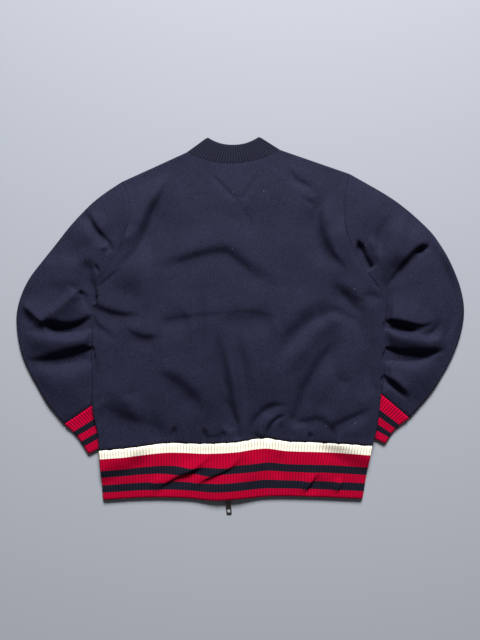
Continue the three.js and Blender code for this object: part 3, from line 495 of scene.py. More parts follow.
# Folds of the back: the drag lines from the shoulders to the armholes, the sag across the middle, what
# the front and its lining print through, and the bagging over the hem
backFolds = [
    fold(5, 12, 22, (-128, 656), (-152, 618), (-176, 577), (-202, 525), (-230, 478), lean=1.5),
    fold(-5, 26, 9, (-130, 638), (-146, 597), (-160, 570), (-174, 526), (-194, 486), (-240, 442)),
    fold(-2.4, 6, 8, (106, 662), (113, 647), (123, 632), (149, 617), (166, 597)),
    fold(-1.4, 4, 5, (134, 596), (150, 586), (166, 575)),
    fold(5.2, 24, 13, (200, 604), (184, 566), (184, 524), (202, 482), (232, 446), lean=-1),
    fold(-5.6, 10, 24, (186, 602), (170, 574), (168, 546), (178, 505), (198, 470), (225, 444)),
    fold(-2.4, 9, 15, (184, 430), (211, 399), (237, 372), (262, 354)),
    fold(2.2, 14, 10, (204, 436), (236, 404), (264, 384)),
    fold(-2, 6, 13, (246, 394), (272, 396), (298, 386)),
    fold(-1.2, 4, 6, (-50, 650), (-29, 624), (-8, 603), (8, 588), fade=(0.3, 0.1)),
    fold(-1.3, 6, 4, (49, 648), (33, 618), (14, 589), fade=(0.3, 0.1)),
    fold(-1.4, 6, 6, (18, 584), (25, 556), (30, 529), (21, 509)),
    fold(-0.8, 5, 6, (-16, 564), (4, 548), (12, 526)),
    fold(3.2, 26, 15, (-168, 462), (-128, 476), (-88, 490), (-46, 502), (-12, 503), (16, 486), (42, 465),
         (76, 444), (116, 420), lean=-1.5, fade=(0.3, 0.4)),
    fold(-2.4, 9, 24, (-160, 444), (-128, 454), (-88, 467), (-46, 478), (-16, 479), (8, 460), (34, 439),
         (66, 420), (106, 400), fade=(0.3, 0.4)),
    fold(-0.7, 4, 14, (-158, 342), (-84, 354), (-30, 358), (32, 362), (98, 348), fade=(0.2, 0.2)),
    fold(-3.4, 17, 22, (-24, 340), (6, 343), (44, 345), (84, 343), fade=(0.2, 0.25)),
    fold(-3, 15, 20, (-152, 340), (-128, 341), (-108, 344), (-80, 350), fade=(0.3, 0.3)),
    fold(-1.1, 6, 6, (93, 384), (90, 350), (98, 316)),
    fold(-2.8, 5, 6, (-64, 415), (-63, 375), (-65, 329), (-68, 250)),
    fold(-5.2, 12, 9, (-38, 340), (-33, 296), (-26, 250), (-16, 204), (-9, 160), (-6, 126),
         fade=(0.4, 0.1)),
    fold(-2.2, 6, 7, (-30, 216), (-13, 172), (4, 134), (8, 112), fade=(0.4, 0.05)),
    fold(1.6, 12, 18, (-34, 224), (-44, 176), (-38, 116), fade=(0.4, 0.1)),
    fold(-4.6, 12, 10, (5, 336), (11, 283), (18, 236), (21, 180), (28, 126)),
    fold(3.2, 9, 9, (-14, 300), (-4, 244), (6, 190), (11, 136)),
    fold(2.6, 22, 11, (-278, 388), (-247, 376), (-222, 371), (-180, 366), lean=-1.2, fade=(0.02, 0.5)),
    fold(-2.4, 6, 17, (-278, 377), (-247, 361), (-227, 357), (-200, 355), (-166, 348), fade=(0.02, 0.6)),
    fold(2.2, 18, 11, (-216, 342), (-184, 325), (-140, 326), lean=-1),
    fold(-2.2, 8, 18, (-214, 332), (-186, 312), (-140, 312)),
    fold(-2, 5, 10, (-280, 340), (-260, 329), (-228, 304), fade=(0.02, 0.6)),
    fold(3.6, 34, 20, (-268, 232), (-222, 204), (-178, 184), (-130, 156), lean=-1),
    fold(-3.6, 13, 28, (-272, 180), (-224, 156), (-180, 142), (-142, 126), (-116, 110), fade=(0.15, 0.3)),
    fold(2.4, 30, 15, (-158, 262), (-110, 242), (-66, 208), (-44, 176)),
    fold(-3.4, 14, 26, (-160, 246), (-116, 222), (-86, 192), (-58, 158)),
    fold(-3.2, 7, 8, (37, 112), (39, 143), (54, 163), (80, 179), (110, 180), fade=(0.02, 0.4)),
    fold(2.2, 10, 9, (48, 120), (60, 146), (88, 160), fade=(0.1, 0.4)),
    fold(-3.2, 3, 3.5, (106, 164), (82, 153), (71, 137), (68, 110), fade=(0.4, 0.02)),
    fold(-1.4, 4, 5, (88, 150), (94, 132), (90, 110), fade=(0.4, 0.02)),
    fold(-4.2, 10, 16, (214, 362), (186, 362), (157, 349), (130, 322), (104, 292), (76, 246)),
    fold(4.2, 18, 13, (236, 338), (196, 344), (160, 322), (128, 284), (100, 234)),
    fold(2.6, 14, 26, (180, 392), (140, 376), (108, 344), (78, 300)),
    fold(-2.4, 8, 13, (180, 378), (210, 361), (226, 352), (252, 346)),
    fold(-4.6, 14, 10, (206, 316), (184, 283), (163, 250), (144, 216), (130, 176), (116, 134),
         fade=(0.3, 0.1)),
    fold(2.8, 26, 18, (232, 300), (200, 250), (176, 208), (156, 168)),
    fold(-2.8, 7, 15, (106, 138), (142, 147), (167, 150), (188, 137), (214, 147), (248, 163), (284, 184),
         fade=(0.2, 0.35)),
    fold(2, 12, 15, (200, 122), (236, 138), (276, 156)),
    fold(-4.5, 3, 4, (190, 142), (194, 124), (193, 108), fade=(0.4, 0.02)),
    fold(-1.4, 8, 8, (268, 330), (274, 250)),
    fold(-4.5, 3, 4, (-112, 146), (-118, 126), (-119, 104), fade=(0.5, 0.02)),
    fold(-4, 3, 4, (-60, 142), (-57, 126), (-58, 104), fade=(0.5, 0.02)),
    fold(-4.5, 3, 3, (-22, 136), (-21, 122), (-22, 104), fade=(0.5, 0.02)),
    fold(-4, 3, 4, (148, 132), (150, 120), (148, 106), fade=(0.5, 0.02)),
    fold(-1.3, 2.4, 2.6, (-215, 456), (-235, 440), (-254, 425), (-272, 412), fade=(0.5, 0.1)),
    fold(-1.1, 2.4, 2.6, (224, 548), (227, 506), (246, 466), (271, 430), (290, 404), fade=(0.5, 0.1)),
]


def backLift(x, y):
    return drapeOver(x, y) + zipLift(x, y, cloth["shellWall"])


def gathers(x, fromHem):  # small uneven puckers where the wool is drawn onto the rib
    turn = 2 * math.pi * x / body["gatherPitch"]
    ripple = np.sin(turn + 1.9 * np.sin(x / body["gatherDrift"])) + 0.6 * np.sin(2 * turn + 1.1)
    return body["gather"] * ripple * np.exp(-(fromHem / body["gatherReach"]) ** 1.3)


# Air under the upper layer: it lies low along every closed edge and swells between them, most of all
# where the body bags over the hem band
air = {
    "body": 14,
    "sleeve": 8,
    "sideReach": 42,
    "sleeveReach": 34,
    "hemReach": 180,
    "neckReach": 90,
    "edgePower": 1.3,  # how sharply it rises from a closed edge, and from the hem
    "hemPower": 1.7,
    "top": 0.5,  # share of it left over the shoulders
    "thinning": (330, 640),  # between these heights up the back
    "sleeveFrom": (-50, 40),  # the body's air becomes the sleeve's across this
    "innerPast": 30,  # a sleeve's inner fold holds it down this far above the underarm
}


def closedEdges():
    paths = [[shoulder[side], neck[side]] for side in sides]
    for side in sides:
        outer, inner = (edgeTrace(sleeveSections[side], name, 0, 30) for name in ("out", "in"))
        y = np.linspace(sideEdge[side]["y"][0], underarm[side], 16)
        low = inner[:, 1] < underarm[side] + air["innerPast"]
        paths += [outer, inner[low], [outer[-1], inner[-1]], np.stack([sideX(side, y), y], axis=1)]
    return [np.array(path, dtype=float) for path in paths]


edgesClosed = closedEdges()


def airUnder(x, y):
    away = np.min([distanceToPath(x, y, path)[0] for path in edgesClosed], axis=0)
    swell = lambda reach: 1 - np.exp(-(away / air[reach]) ** air["edgePower"])
    fromHem = np.clip((y - lineY(hemSeam, x)) / air["hemReach"], 0, 1)
    fromNeck = np.clip((topLine(x, "back") - y) / air["neckReach"], 0, 1)
    thinner = mix(1, air["top"], smoothStep(y, *air["thinning"]))
    bodyAir = air["body"] * (1 - (1 - fromHem) ** air["hemPower"]) * thinner
    bodyAir = bodyAir * (1 - (1 - fromNeck) ** 2) * swell("sideReach")
    onSleeve = smoothStep(beyondBodyEither(x, y), *air["sleeveFrom"])
    return mix(bodyAir, air["sleeve"] * swell("sleeveReach"), onSleeve)


def backPanel():
    across, inset, angle = backColumns()
    part, rise = panelRows(cloth["step"])
    x, y = panelPlan(across, inset, part, rise, "back")
    level = foldLevel(x, y, part, rise, angle)
    fromHem = y - y[:1]
    fromNeck = y[-1:] - y
    inNeck = smoothStep(np.minimum(x - neck["left"][0], neck["right"][0] - x), 0, body["neckFade"])
    flush = smoothStep(part, *body["flush"])[:, None]
    fromSide = np.minimum(x - x[:, :1], x[:, -1:] - x)
    seams = seamDip(fromHem) + inNeck * seamDip(fromNeck, cloth["neckDip"], 0)
    seams = seams + flush * seamDip(fromSide, cloth["flushDip"], cloth["flushLift"])
    shift = clothShift(x, y)
    z = settle(shift[2] + gathers(x, fromHem) + airUnder(x, y), x, cloth["shellWall"]) + seams
    z = backLift(x, y) + half + cloth["seamGap"] / 2 + (half - cloth["seamGap"] / 2) * level + z * level
    points = np.stack([x + shift[0] * level, y + shift[1] * level, limitHeight(z)], axis=2)
    return gridPiece("back", points, x, y, cloth["shellWall"])


def frontPanel(side):
    across, inset, angle = frontColumns(side)
    part, rise = panelRows(body["frontStep"])
    x, y = panelPlan(across, inset, part, rise, "front")
    neckColumn = np.argmin(np.abs(across - neckShare[sides.index(side)]))
    fade = np.linspace(0, 1, x.shape[1] - neckColumn)[None, :]
    zipEdge = zipX + outward[side] * body["zipEdge"]
    x[:, neckColumn:] = mix(x[:, neckColumn:neckColumn + 1], zipEdge, fade)
    level = foldLevel(x, y, part, rise, angle)
    z = backLift(x, y) + half - cloth["seamGap"] / 2 - (half - cloth["seamGap"] / 2) * level
    return gridPiece(f"front_{side}_cloth", np.stack([x, y, z], axis=2), x, y, cloth["shellWall"],
                     flip=side == "left")


# Sleeves and cuffs
tube = {
    "across": 74,  # mesh spans over the width
    "rows": 176,
    "sectionStep": 38,  # the sections' rows are about this far apart
    "fadeFrom": 1,  # a sleeve's ridges start this far beyond the body's edge
    "fadeTo": 14,
    "backFade": 24,  # the back's folds end this far beyond it
    "cuffRate": 0.7,  # they lie closer together near the cuff
    "cuffFade": (2, 26),  # folds die out before the cuff seam
    "headPoints": 80,
}

# Folds of the sleeves: creases from the long outer fold, and the deep pleats where each arm bends
sleeveFolds = {
    "left": [
        fold(-2.6, 4, 10, (-300, 574), (-291, 551), (-278, 531), (-263, 514), (-251, 503), (-246, 492),
             (-253, 484), (-264, 485), fade=(0.2, 0.2)),
        fold(3, 14, 5, (-290, 570), (-270, 536), (-252, 514)),
        fold(2.6, 9, 24, (-314, 560), (-300, 528), (-276, 504)),
        fold(2, 4, 4, (-254, 504), (-258, 493), (-268, 490)),
        fold(-4.5, 8, 15, (-284, 474), (-292, 441), (-287, 413), (-274, 386), fade=(0.3, 0.05)),
        fold(-2.4, 3, 3, (-280, 462), (-273, 450), (-270, 440)),
        fold(3, 18, 26, (-316, 480), (-326, 440), (-322, 400)),
        fold(9.5, 24, 9, (-306, 406), (-343, 373), (-378, 345), (-392, 336), crest=1.3, fade=(0.12, 0.4)),
        fold(7.5, 8, 16, (-366, 337), (-378, 346), (-400, 364), (-426, 388), crest=1.3, fade=(0.3, 0.5)),
        fold(-3, 12, 12, (-424, 366), (-406, 352), (-390, 345)),
        fold(-12, 7, 10, (-378, 343), (-352, 334), (-328, 331), (-302, 337), (-274, 352),
             fade=(0.25, 0.02)),
        fold(-6, 5, 6, (-311, 405), (-297, 392), (-272, 389), fade=(0.1, 0.1)),
        fold(-6, 5, 8, (-309, 401), (-297, 382), (-276, 368), fade=(0.3, 0.05)),
        fold(6, 11, 22, (-420, 324), (-380, 312), (-345, 307), (-309, 309), (-276, 316), lean=-2,
             fade=(0.3, 0.02)),
        fold(-8, 9, 22, (-420, 272), (-388, 267), (-356, 270), (-328, 277), (-304, 284), (-274, 291),
             fade=(0.5, 0.02)),
        fold(2.5, 16, 26, (-396, 240), (-330, 240), (-276, 252), fade=(0.3, 0.1)),
        fold(2, 18, 18, (-368, 496), (-398, 444), (-418, 396)),
    ],
    "right": [
        fold(-10, 7, 5, (246, 512), (250, 494), (260, 470), (272, 449), fade=(0.35, 0.05)),
        fold(3.5, 9, 6, (270, 520), (281, 486), (290, 456)),
        fold(-3, 8, 9, (308, 562), (295, 518), (287, 480), (286, 450)),
        fold(6, 17, 15, (348, 568), (322, 512), (304, 460), (298, 420)),
        fold(5, 11, 26, (394, 510), (366, 503), (342, 484), (314, 446), lean=2, fade=(0.2, 0.4)),
        fold(-3.4, 15, 5, (389, 495), (368, 489), (353, 474), (335, 451), (312, 426), (298, 406),
             fade=(0.12, 0.4)),
        fold(-4, 5, 4, (392, 495), (374, 491), (356, 479), fade=(0.2, 0.5)),
        fold(-3, 10, 13, (362, 536), (391, 499), (425, 439), (438, 389), (427, 329), (392, 290)),
        fold(2.6, 9, 10, (386, 540), (420, 482), (445, 420), (450, 372), (436, 312)),
        fold(6, 30, 7, (300, 358), (340, 351), (372, 344), (402, 352), lean=-3, fade=(0.02, 0.5)),
        fold(-13, 6, 8, (296, 342), (323, 337), (348, 330), (370, 325), fade=(0.02, 0.55)),
        fold(-3, 6, 6, (362, 322), (387, 319), (403, 334), (404, 360)),
        fold(7, 9, 18, (298, 327), (330, 317), (362, 309), (392, 306), (420, 324), lean=-2,
             fade=(0.02, 0.35)),
        fold(-13, 8, 10, (294, 284), (327, 277), (357, 277), (391, 284), (422, 289), fade=(0.02, 0.55)),
        fold(3, 18, 26, (298, 246), (350, 244), (410, 258), fade=(0.1, 0.3)),
        fold(-5.5, 4, 6, (290, 238), (316, 217), (347, 186), fade=(0.05, 0.5)),
        fold(2.6, 9, 5, (298, 246), (326, 222), (350, 196)),
    ],
}


def beyondBody(x, y, side):
    return outward[side] * (x - sideX(side, y))


def beyondBodyEither(x, y):
    return np.where(x < 0, beyondBody(x, y, "left"), beyondBody(x, y, "right"))


def clothShift(x, y):  # what folds and looseness add to the cloth's upper face
    shift = foldShift(backFolds, x, y) * (1 - smoothStep(beyondBodyEither(x, y), 0, tube["backFade"]))
    for side in sides:
        away = beyondBody(x, y, side)
        folds = foldShift(sleeveFolds[side], x, y)
        rise = smoothStep(away, tube["fadeFrom"], tube["fadeTo"])
        sink = smoothStep(away, -tube["fadeTo"], -tube["fadeFrom"])
        shift += folds * np.where(folds[2] > 0, rise, sink)
    shift[2] += looseness(x, y)
    return shift


def places(share, inset, angle, up):  # of a mesh line: share across, inset, angle, and up or down
    return {"share": share, "inset": inset, "angle": angle, "up": up, "sine": np.sin(angle) * up}


def tubePlaces(spansAcross):  # round a flat tube
    turn = foldAngles[:-1]
    share = np.linspace(0, 1, spansAcross + 1)
    top = join(0 * turn, share, 0 * turn + 1)
    inset = join(foldInsets[:-1], half * (1 - 2 * share), -foldInsets[:-1][::-1])
    angle = join(turn, np.full(len(share), math.pi / 2), turn[::-1])
    close = lambda values, sign=1: join(values, sign * values[1:-1][::-1], values[:1])
    return places(close(top), close(inset), close(angle), close(np.ones(len(top)), -1))


def armholeLine(side, count):  # where a sleeve's head lies: down the armhole, on under the body
    y = np.linspace(sideEdge[side]["y"][-1], tuckTop[side], count)
    x = sideX(side, y) + outward[side] * cloth["armholeGap"]
    inner = [[sleeveSections[side]["inX"][0], sleeveSections[side]["inY"][0]]]
    line = join(np.stack([x, y], axis=1), inner)
    reach = runningTotal(line)
    return lambda share: [np.interp(share * reach[-1], reach, line[:, i]) for i in (0, 1)]


def tubePlan(curve, at, place):
    outer = [curve(at, name)[:, None] for name in ("outX", "outY")]
    inner = [curve(at, name)[:, None] for name in ("inX", "inY")]
    width = np.hypot(inner[0] - outer[0], inner[1] - outer[1])
    share = place["share"] + place["inset"] / width
    x, y = (mix(o, i, share) for o, i in zip(outer, inner))
    return x, y, share


def sleevePiece(side):
    rows = sleeveSections[side]
    last = len(rows["outX"]) - 1
    near = nearSeam / tube["sectionStep"]
    middle = np.linspace(near[-1], last - near[-1], tube["rows"])[1:-1]
    at = join(near, middle, last - near[::-1])
    place = tubePlaces(tube["across"])
    curve = sectionCurves(rows)
    x, y, share = tubePlan(curve, at, place)
    bow = curve(at, "bow")[:, None]
    head = armholeLine(side, tube["headPoints"])
    start, end = head(0.0), head(1.0)
    headX, headY = head(share[0])
    x = x + bow * (headX - mix(start[0], end[0], share[0]))
    y = y + bow * (headY - mix(start[1], end[1], share[0]))
    fromArmhole = at[:, None] * tube["sectionStep"]
    fromCuff = (last - at[:, None]) * tube["sectionStep"] * tube["cuffRate"]
    sine = place["sine"]
    level = 0.5 + 0.5 * sine
    shift = clothShift(x, y) * smoothStep(fromCuff, *tube["cuffFade"])
    seams = seamDip(fromArmhole, cloth["flushDip"], cloth["flushLift"]) + seamDip(fromCuff)
    z = half + half * sine + (settle(shift[2] + airUnder(x, y), x, cloth["shellWall"]) + seams) * level
    points = np.stack([x + shift[0] * level, y + shift[1] * level, limitHeight(z)], axis=2)
    flatPoints = np.stack([x, y, half + half * sine + 0 * x], axis=2)
    return gridPiece(f"sleeve_{side}_cloth", points, runningLength(flatPoints, 1),
                     runningLength(flatPoints, 0), cloth["shellWall"], ring=True, flip=side == "left")


rib = {
    "cuffPitch": 5.0,
    "hemPitch": 5.6,
    "collarPitch": 4.7,
    "height": 0.8,  # of a rib over the groove beside it
    "samples": 5,  # mesh lines to a rib
    "edgeRound": 1.6,  # a band's folded edge turns down over this
    "edgeDrop": 1.3,
    "foldLines": 8,  # mesh lines round a quarter of the fold
}


def edgeRoundOff(away):
    return -rib["edgeDrop"] * np.exp(-(away / rib["edgeRound"]) ** 2)


def rowsDown(length, count):  # mesh lines down a band
    return join(nearSeam, np.linspace(5, length - 5, count)[1:-1], length - nearSeam[::-1])


# A knitted band on the plan x, y, z. Its ribs stand out along its own normals, and its map counts ribs
# in hundredths and runs from 0 to a tenth down the band.
def ribPiece(name, x, y, z, place, inward, pitch, rounding, fall, ring=False, flip=False):
    base = np.stack([x, y, z], axis=2)
    along = runningLength(base, 1)[len(x) // 2]
    if ring:
        pitch = along[-1] / round(along[-1] / pitch)
    sideways = np.where(place["share"] < 0.5, -1, 1) * np.cos(place["angle"])
    normal = np.stack([inward[:, :1] * sideways, inward[:, 1:] * sideways,
                       np.broadcast_to(place["sine"], x.shape)], axis=2)
    ribs = rib["height"] * (np.sqrt(np.abs(np.sin(math.pi * along / pitch))) - 1)
    swell = ribs + rounding[:, None]
    swell = np.where(place["sine"] < 0, np.minimum(swell, 0), swell)
    ribCount = np.broadcast_to(along / pitch * 10, x.shape)
    return gridPiece(name, base + normal * swell[:, :, None], ribCount,
                     np.broadcast_to(fall[:, None] * 100, x.shape), cloth["ribWall"], ring, flip)


cuff = {"length": 75, "rows": 18}


def cuffPiece(side):
    rows = {name: list(column) for name, column in cuffSections[side].items()}
    outLine = np.array([rows[name][-1] - rows[name][0] for name in ("outX", "outY")])
    gap = outLine / np.hypot(*outLine) * cloth["seamGap"]
    for name in ("out", "in"):
        rows[name + "X"][0] += gap[0]
        rows[name + "Y"][0] += gap[1]
    curve = sectionCurves(rows)
    down = rowsDown(cuff["length"], cuff["rows"])
    fall = down / cuff["length"]
    at = fall * (len(rows["outX"]) - 1)
    width = np.hypot(rows["outX"][1] - rows["inX"][1], rows["outY"][1] - rows["inY"][1])
    place = tubePlaces(round((width - 2 * half) * rib["samples"] / rib["cuffPitch"]))
    x, y, share = tubePlan(curve, at, place)
    sine = place["sine"]
    z = half + half * sine + looseness(x, y) * (0.5 + 0.5 * sine)
    inner = curve(at, "inX") - curve(at, "outX"), curve(at, "inY") - curve(at, "outY")
    inward = np.stack(inner, axis=1) / np.hypot(*inner)[:, None]
    return ribPiece(f"cuff_{side}_knit", x, y, z, place, inward, rib["cuffPitch"],
                    edgeRoundOff(cuff["length"] - down) + seamDip(down), fall, ring=True,
                    flip=side == "left")


# Hem band and collar: bands folded flat at both sides and open at the zip. share runs across the
# upper layer; the lower layer's share runs out to the same folds.
def bandPlaces(left, upper, right):  # from zip to zip
    turn = np.radians(np.linspace(0, 90, rib["foldLines"])[:-1])
    turnInset = half * (1 - np.cos(turn))
    quarter = join(turnInset[::-1], turnInset[1:])
    angle = join(turn[::-1], turn[1:])
    up = join(-np.ones(len(turn)), np.ones(len(turn) - 1))
    level = lambda values: np.full(len(values), math.pi / 2)
    share = [left, 0 * angle, upper, 0 * angle + 1, right]
    inset = [half * (1 - left / left[0]), quarter, half * (1 - 2 * upper), -quarter[::-1],
             -half * (1 - (1 - right) / (1 - right[-1]))]
    angles = [level(left), angle, level(upper), angle[::-1], level(right)]
    ups = [-np.ones(len(left)), up, np.ones(len(upper)), up[::-1], -np.ones(len(right))]
    return places(*(join(*parts) for parts in (share, inset, angles, ups)))


def bandPiece(name, x, y, upperZ, place, pitch, rounding, fall, shift=(0, 0), flip=False):
    lowerZ = drapeOver(x, y) + zipLift(x, y, cloth["ribWall"])
    z = mix(lowerZ, upperZ, 0.5 + 0.5 * place["sine"]) + half + half * place["sine"]
    inward = np.broadcast_to([1.0, 0.0], (len(x), 2))
    return ribPiece(name, x + shift[0], y + shift[1], z, place, inward, pitch, rounding, fall, flip=flip)


hem = {
    "rows": 34,
    "length": 108,
    "sliderLift": 0.8,  # over the zip's slider, fading between these distances across and up
    "sliderAcross": (12, 45),
    "sliderUp": (18, 70),
    "foldFade": 0.4,  # the body's folds die out over this share of the band
}
hemFolds = [  # shallow crumples that cross the band on the slant
    fold(2.2, 4, 13, (20, 96), (0, 70), (-24, 56), (-53, 44), (-88, 20), lean=3.5),
    fold(-2, 12, 4, (27, 88), (6, 60), (-18, 47), (-48, 36), (-80, 12)),
    fold(2.2, 12, 4, (-168, 2), (-140, 31), (-112, 47), (-79, 59), (-40, 68), lean=-3),
    fold(-1.8, 4, 11, (-160, -4), (-134, 22), (-106, 38), (-74, 50), (-36, 60)),
    fold(1.8, 4, 9, (-36, 88), (-62, 73), (-82, 62), (-108, 52), (-126, 44), lean=2.5),
    fold(2.4, 4, 11, (164, 56), (146, 32), (130, 8), lean=3),
    fold(-2, 10, 4, (172, 50), (154, 26), (138, 4)),
    fold(2, 4, 9, (212, 42), (203, 26), (196, 8), lean=2.5),
    fold(1.4, 4, 8, (-136, 46), (-150, 34), (-170, 22), lean=1.6),
    fold(1.5, 16, 18, (60, 96), (36, 60), (24, 20), lean=2),
    fold(-1.6, 9, 9, (100, 92), (86, 62), (92, 30)),
    fold(1.3, 16, 18, (200, 92), (180, 50), (172, 16), lean=-2),
    fold(1.4, 14, 18, (-200, 92), (-214, 50), (-206, 10), lean=2),
]


def hemBand():
    (topLeft, topRight), (footLeft, footRight) = lineEnds(hemSeam), lineEnds(hemFoot)
    width = topRight[0] - topLeft[0]
    step = rib["hemPitch"] / rib["samples"]
    zipAt = [(zipX + sign * body["zipEdge"] - topLeft[0]) / width for sign in (-1, 1)]
    edge = half / width / 2
    place = bandPlaces(np.linspace(zipAt[0], edge, round(zipAt[0] * width / step)),
                       np.linspace(0, 1, round((width - 2 * half) / step)),
                       np.linspace(1 - edge, zipAt[1], round((1 - zipAt[1]) * width / step)))
    share = place["share"]
    down = rowsDown(hem["length"], hem["rows"])
    fall = (down / hem["length"])[:, None]
    topX = mix(topLeft[0], topRight[0], share)
    footX = mix(footLeft[0], footRight[0], share)
    middle = (zipX - topLeft[0]) / width  # the lower layer's edges run straight down the zip
    fromZip = np.abs(share - middle) / np.where(share < middle, middle, 1 - middle)
    shear = zipX - mix(footLeft[0], footRight[0], middle)
    footX = footX + np.where(place["up"] < 0, shear * (1 - fromZip), 0)
    x = mix(topX, footX, fall) + place["inset"]
    y = mix(lineY(hemSeam, topX) - cloth["seamGap"], lineY(hemFoot, footX), fall)
    fade = 1 - smoothStep(fall, 0, hem["foldFade"])
    overSlider = 1 - smoothStep(np.abs(x - zipX), *hem["sliderAcross"])
    overSlider = overSlider * (1 - smoothStep(y, *hem["sliderUp"]))
    crumple = foldShift(hemFolds, x, y) * np.where(place["up"] > 0, np.sin(place["angle"]), 0)
    folds = settle(fade * clothShift(x, y)[2] + crumple[2], x, cloth["ribWall"])
    upperZ = backLift(x, y) + hem["sliderLift"] * overSlider + folds
    return bandPiece("hem_knit", x, y, upperZ, place, rib["hemPitch"],
                     seamDip(down) + edgeRoundOff(hem["length"] - down), fall[:, 0], crumple, flip=True)


collar = {
    "peaks": ((-57, 720.5), (53, 722)),
    "dip": 15.5,
    "frontTop": 640,
    "length": 38,
    "rows": 8,
    "frontLength": 118,  # of each front half, from the neck point to the zip
    "frontEnds": (0.5, 0.02),  # share across at the zip, and beside the fold
    "frontBend": 1.4,
    "foldFade": 0.6,
}


def collarPiece():
    peakLeft, peakRight = collar["peaks"]
    width = neck["right"][0] - neck["left"][0]
    step = rib["collarPitch"] / rib["samples"]
    frontCount = round(collar["frontLength"] / step)
    front = np.linspace(*collar["frontEnds"], frontCount)
    place = bandPlaces(front, np.linspace(0, 1, round((width - 2 * half) / step)), 1 - front[::-1])
    down = rowsDown(collar["length"], collar["rows"])
    up = (down / collar["length"])[:, None]
    share = place["share"]
    reach = np.abs(2 * share - 1)
    inset = place["inset"] * np.where(reach < collar["frontEnds"][1], 0, 1)
    backX = mix(neck["left"][0], neck["right"][0], share) + inset
    backTopX = mix(peakLeft[0], peakRight[0], share) + inset
    dip = collar["dip"] * (1 - reach ** neck["backBend"])
    backTopY = lineBetween(backTopX, peakLeft, peakRight) - dip
    # the lower layer runs from the neck points down to the zip
    onLeft = share < 0.5
    neckX = np.where(onLeft, neck["left"][0], neck["right"][0])
    peakX, peakY = (np.where(onLeft, peakLeft[i], peakRight[i]) for i in (0, 1))
    zipEdgeX = zipX + np.where(onLeft, -1, 1) * body["zipEdge"]
    frontX = mix(zipEdgeX, neckX, reach) + inset
    frontTopX = mix(zipEdgeX, peakX, reach) + inset
    frontTopY = mix(collar["frontTop"], peakY, reach ** collar["frontBend"])
    pick = lambda front, back: np.where(place["up"] < 0, front, back)
    x = mix(pick(frontX, backX), pick(frontTopX, backTopX), up)
    seamY = pick(topLine(frontX, "front"), topLine(backX, "back")) + cloth["seamGap"]
    y = mix(seamY, pick(frontTopY, backTopY), up)
    fade = 1 - smoothStep(up, 0, collar["foldFade"])
    upperZ = backLift(x, y) + settle(fade * clothShift(x, y)[2], x, cloth["ribWall"])
    rounding = seamDip(down, cloth["neckDip"], 0) + edgeRoundOff(collar["length"] - down)
    return bandPiece("collar_knit", x, y, upperZ, place, rib["collarPitch"], rounding, up[:, 0])


# Zip hardware
teeth = {"pitch": 2.5, "length": 1.35, "width": 2.7, "height": 1.8, "start": 5.9, "end": 636.5,
         "gap": 0.2, "round": 0.28}
zipSpread = table("y x",
    (0, 0), (7, 0), (12.5, 1.3), (24, 1.3), (62, 0), (640, 0))


def teethPiece(side):
    first = teeth["start"] + (teeth["pitch"] / 2 if side == "right" else 0)
    bm = bmesh.new()
    for y in np.arange(first + teeth["length"], teeth["end"], teeth["pitch"]):
        apart = np.interp(y, zipSpread["y"], zipSpread["x"])
        x = outward[side] * (teeth["gap"] + apart + teeth["width"] / 2)
        place = Vector(np.array([x + zipX, y, zipHeight(y)]) + planPlace) / 1000
        size = Vector((teeth["width"], teeth["length"], teeth["height"])) / 1000
        bmesh.ops.create_cube(bm, size=1, matrix=Matrix.LocRotScale(place, None, size))
    bmesh.ops.bevel(bm, geom=bm.edges[:], offset=teeth["round"] / 1000, segments=1, profile=0.5,
                    affect="EDGES", material=-1)
    return meshPiece(f"teeth_{side}", bm)


def roundedCopy(node, name, radius):  # the CAD solid with its sharp edges rounded off
    bm = bmesh.new()
    bm.from_mesh(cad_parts[node].data)
    bmesh.ops.remove_doubles(bm, verts=bm.verts, dist=1e-6)
    bmesh.ops.dissolve_limit(bm, angle_limit=math.radians(1), verts=bm.verts, edges=bm.edges)
    sharp = [edge for edge in bm.edges if edge.calc_face_angle(0) > math.radians(35)]
    bmesh.ops.bevel(bm, geom=sharp, offset=radius / 1000, segments=2, profile=0.5, affect="EDGES",
                    material=-1, clamp_overlap=True)
    for face in bm.faces:
        face.smooth = True
    return meshPiece(name, bm)


# Materials. Pattern sizes are real ones, in metres
def linearColour(hexCode, alpha=1.0):
    channels = [int(hexCode[i:i + 2], 16) / 255 for i in (1, 3, 5)]
    return [c / 12.92 if c <= 0.04045 else ((c + 0.055) / 1.055) ** 2.4 for c in channels] + [alpha]


def addNode(tree, kind, settings=None, links=None):
    node = tree.nodes.new("ShaderNode" + kind)
    for name, value in (settings or {}).items():
        if isinstance(name, str) and hasattr(node, name):
            setattr(node, name, value)
        else:
            node.inputs[name].default_value = value
    for name, source in (links or {}).items():
        tree.links.new(source, node.inputs[name])
    return node


def newMaterial(name, settings):
    material = bpy.data.materials.new(name)
    material.use_nodes = True
    shader = material.node_tree.nodes["Principled BSDF"]
    for socket, value in settings.items():
        shader.inputs[socket].default_value = value
    return material, material.node_tree, shader


def noise(tree, place, size, detail, roughness=0.5):
    settings = {"Scale": 1 / size, "Detail": detail, "Roughness": roughness}
    return addNode(tree, "TexNoise", settings, {"Vector": place}).outputs["Fac"]


def ramp(tree, source, low, high):  # between two colours, each with its place
    node = addNode(tree, "ValToRGB", links={"Fac": source})
    for element, (place, colour) in zip(node.color_ramp.elements, (low, high)):
        element.position = place
        element.color = linearColour(colour)
    return node.outputs["Color"]


def rescale(tree, source, low, high, **settings):
    ends = {"From Min": 0.3, "From Max": 0.7, "To Min": low, "To Max": high, **settings}
    return addNode(tree, "MapRange", ends, {"Value": source}).outputs["Result"]


def calculate(tree, operation, source, other=None):
    node = addNode(tree, "Math", {"operation": operation}, {0: source})
    if isinstance(other, float):
        node.inputs[1].default_value = other
    elif other:
        tree.links.new(other, node.inputs[1])
    return node.outputs["Value"]


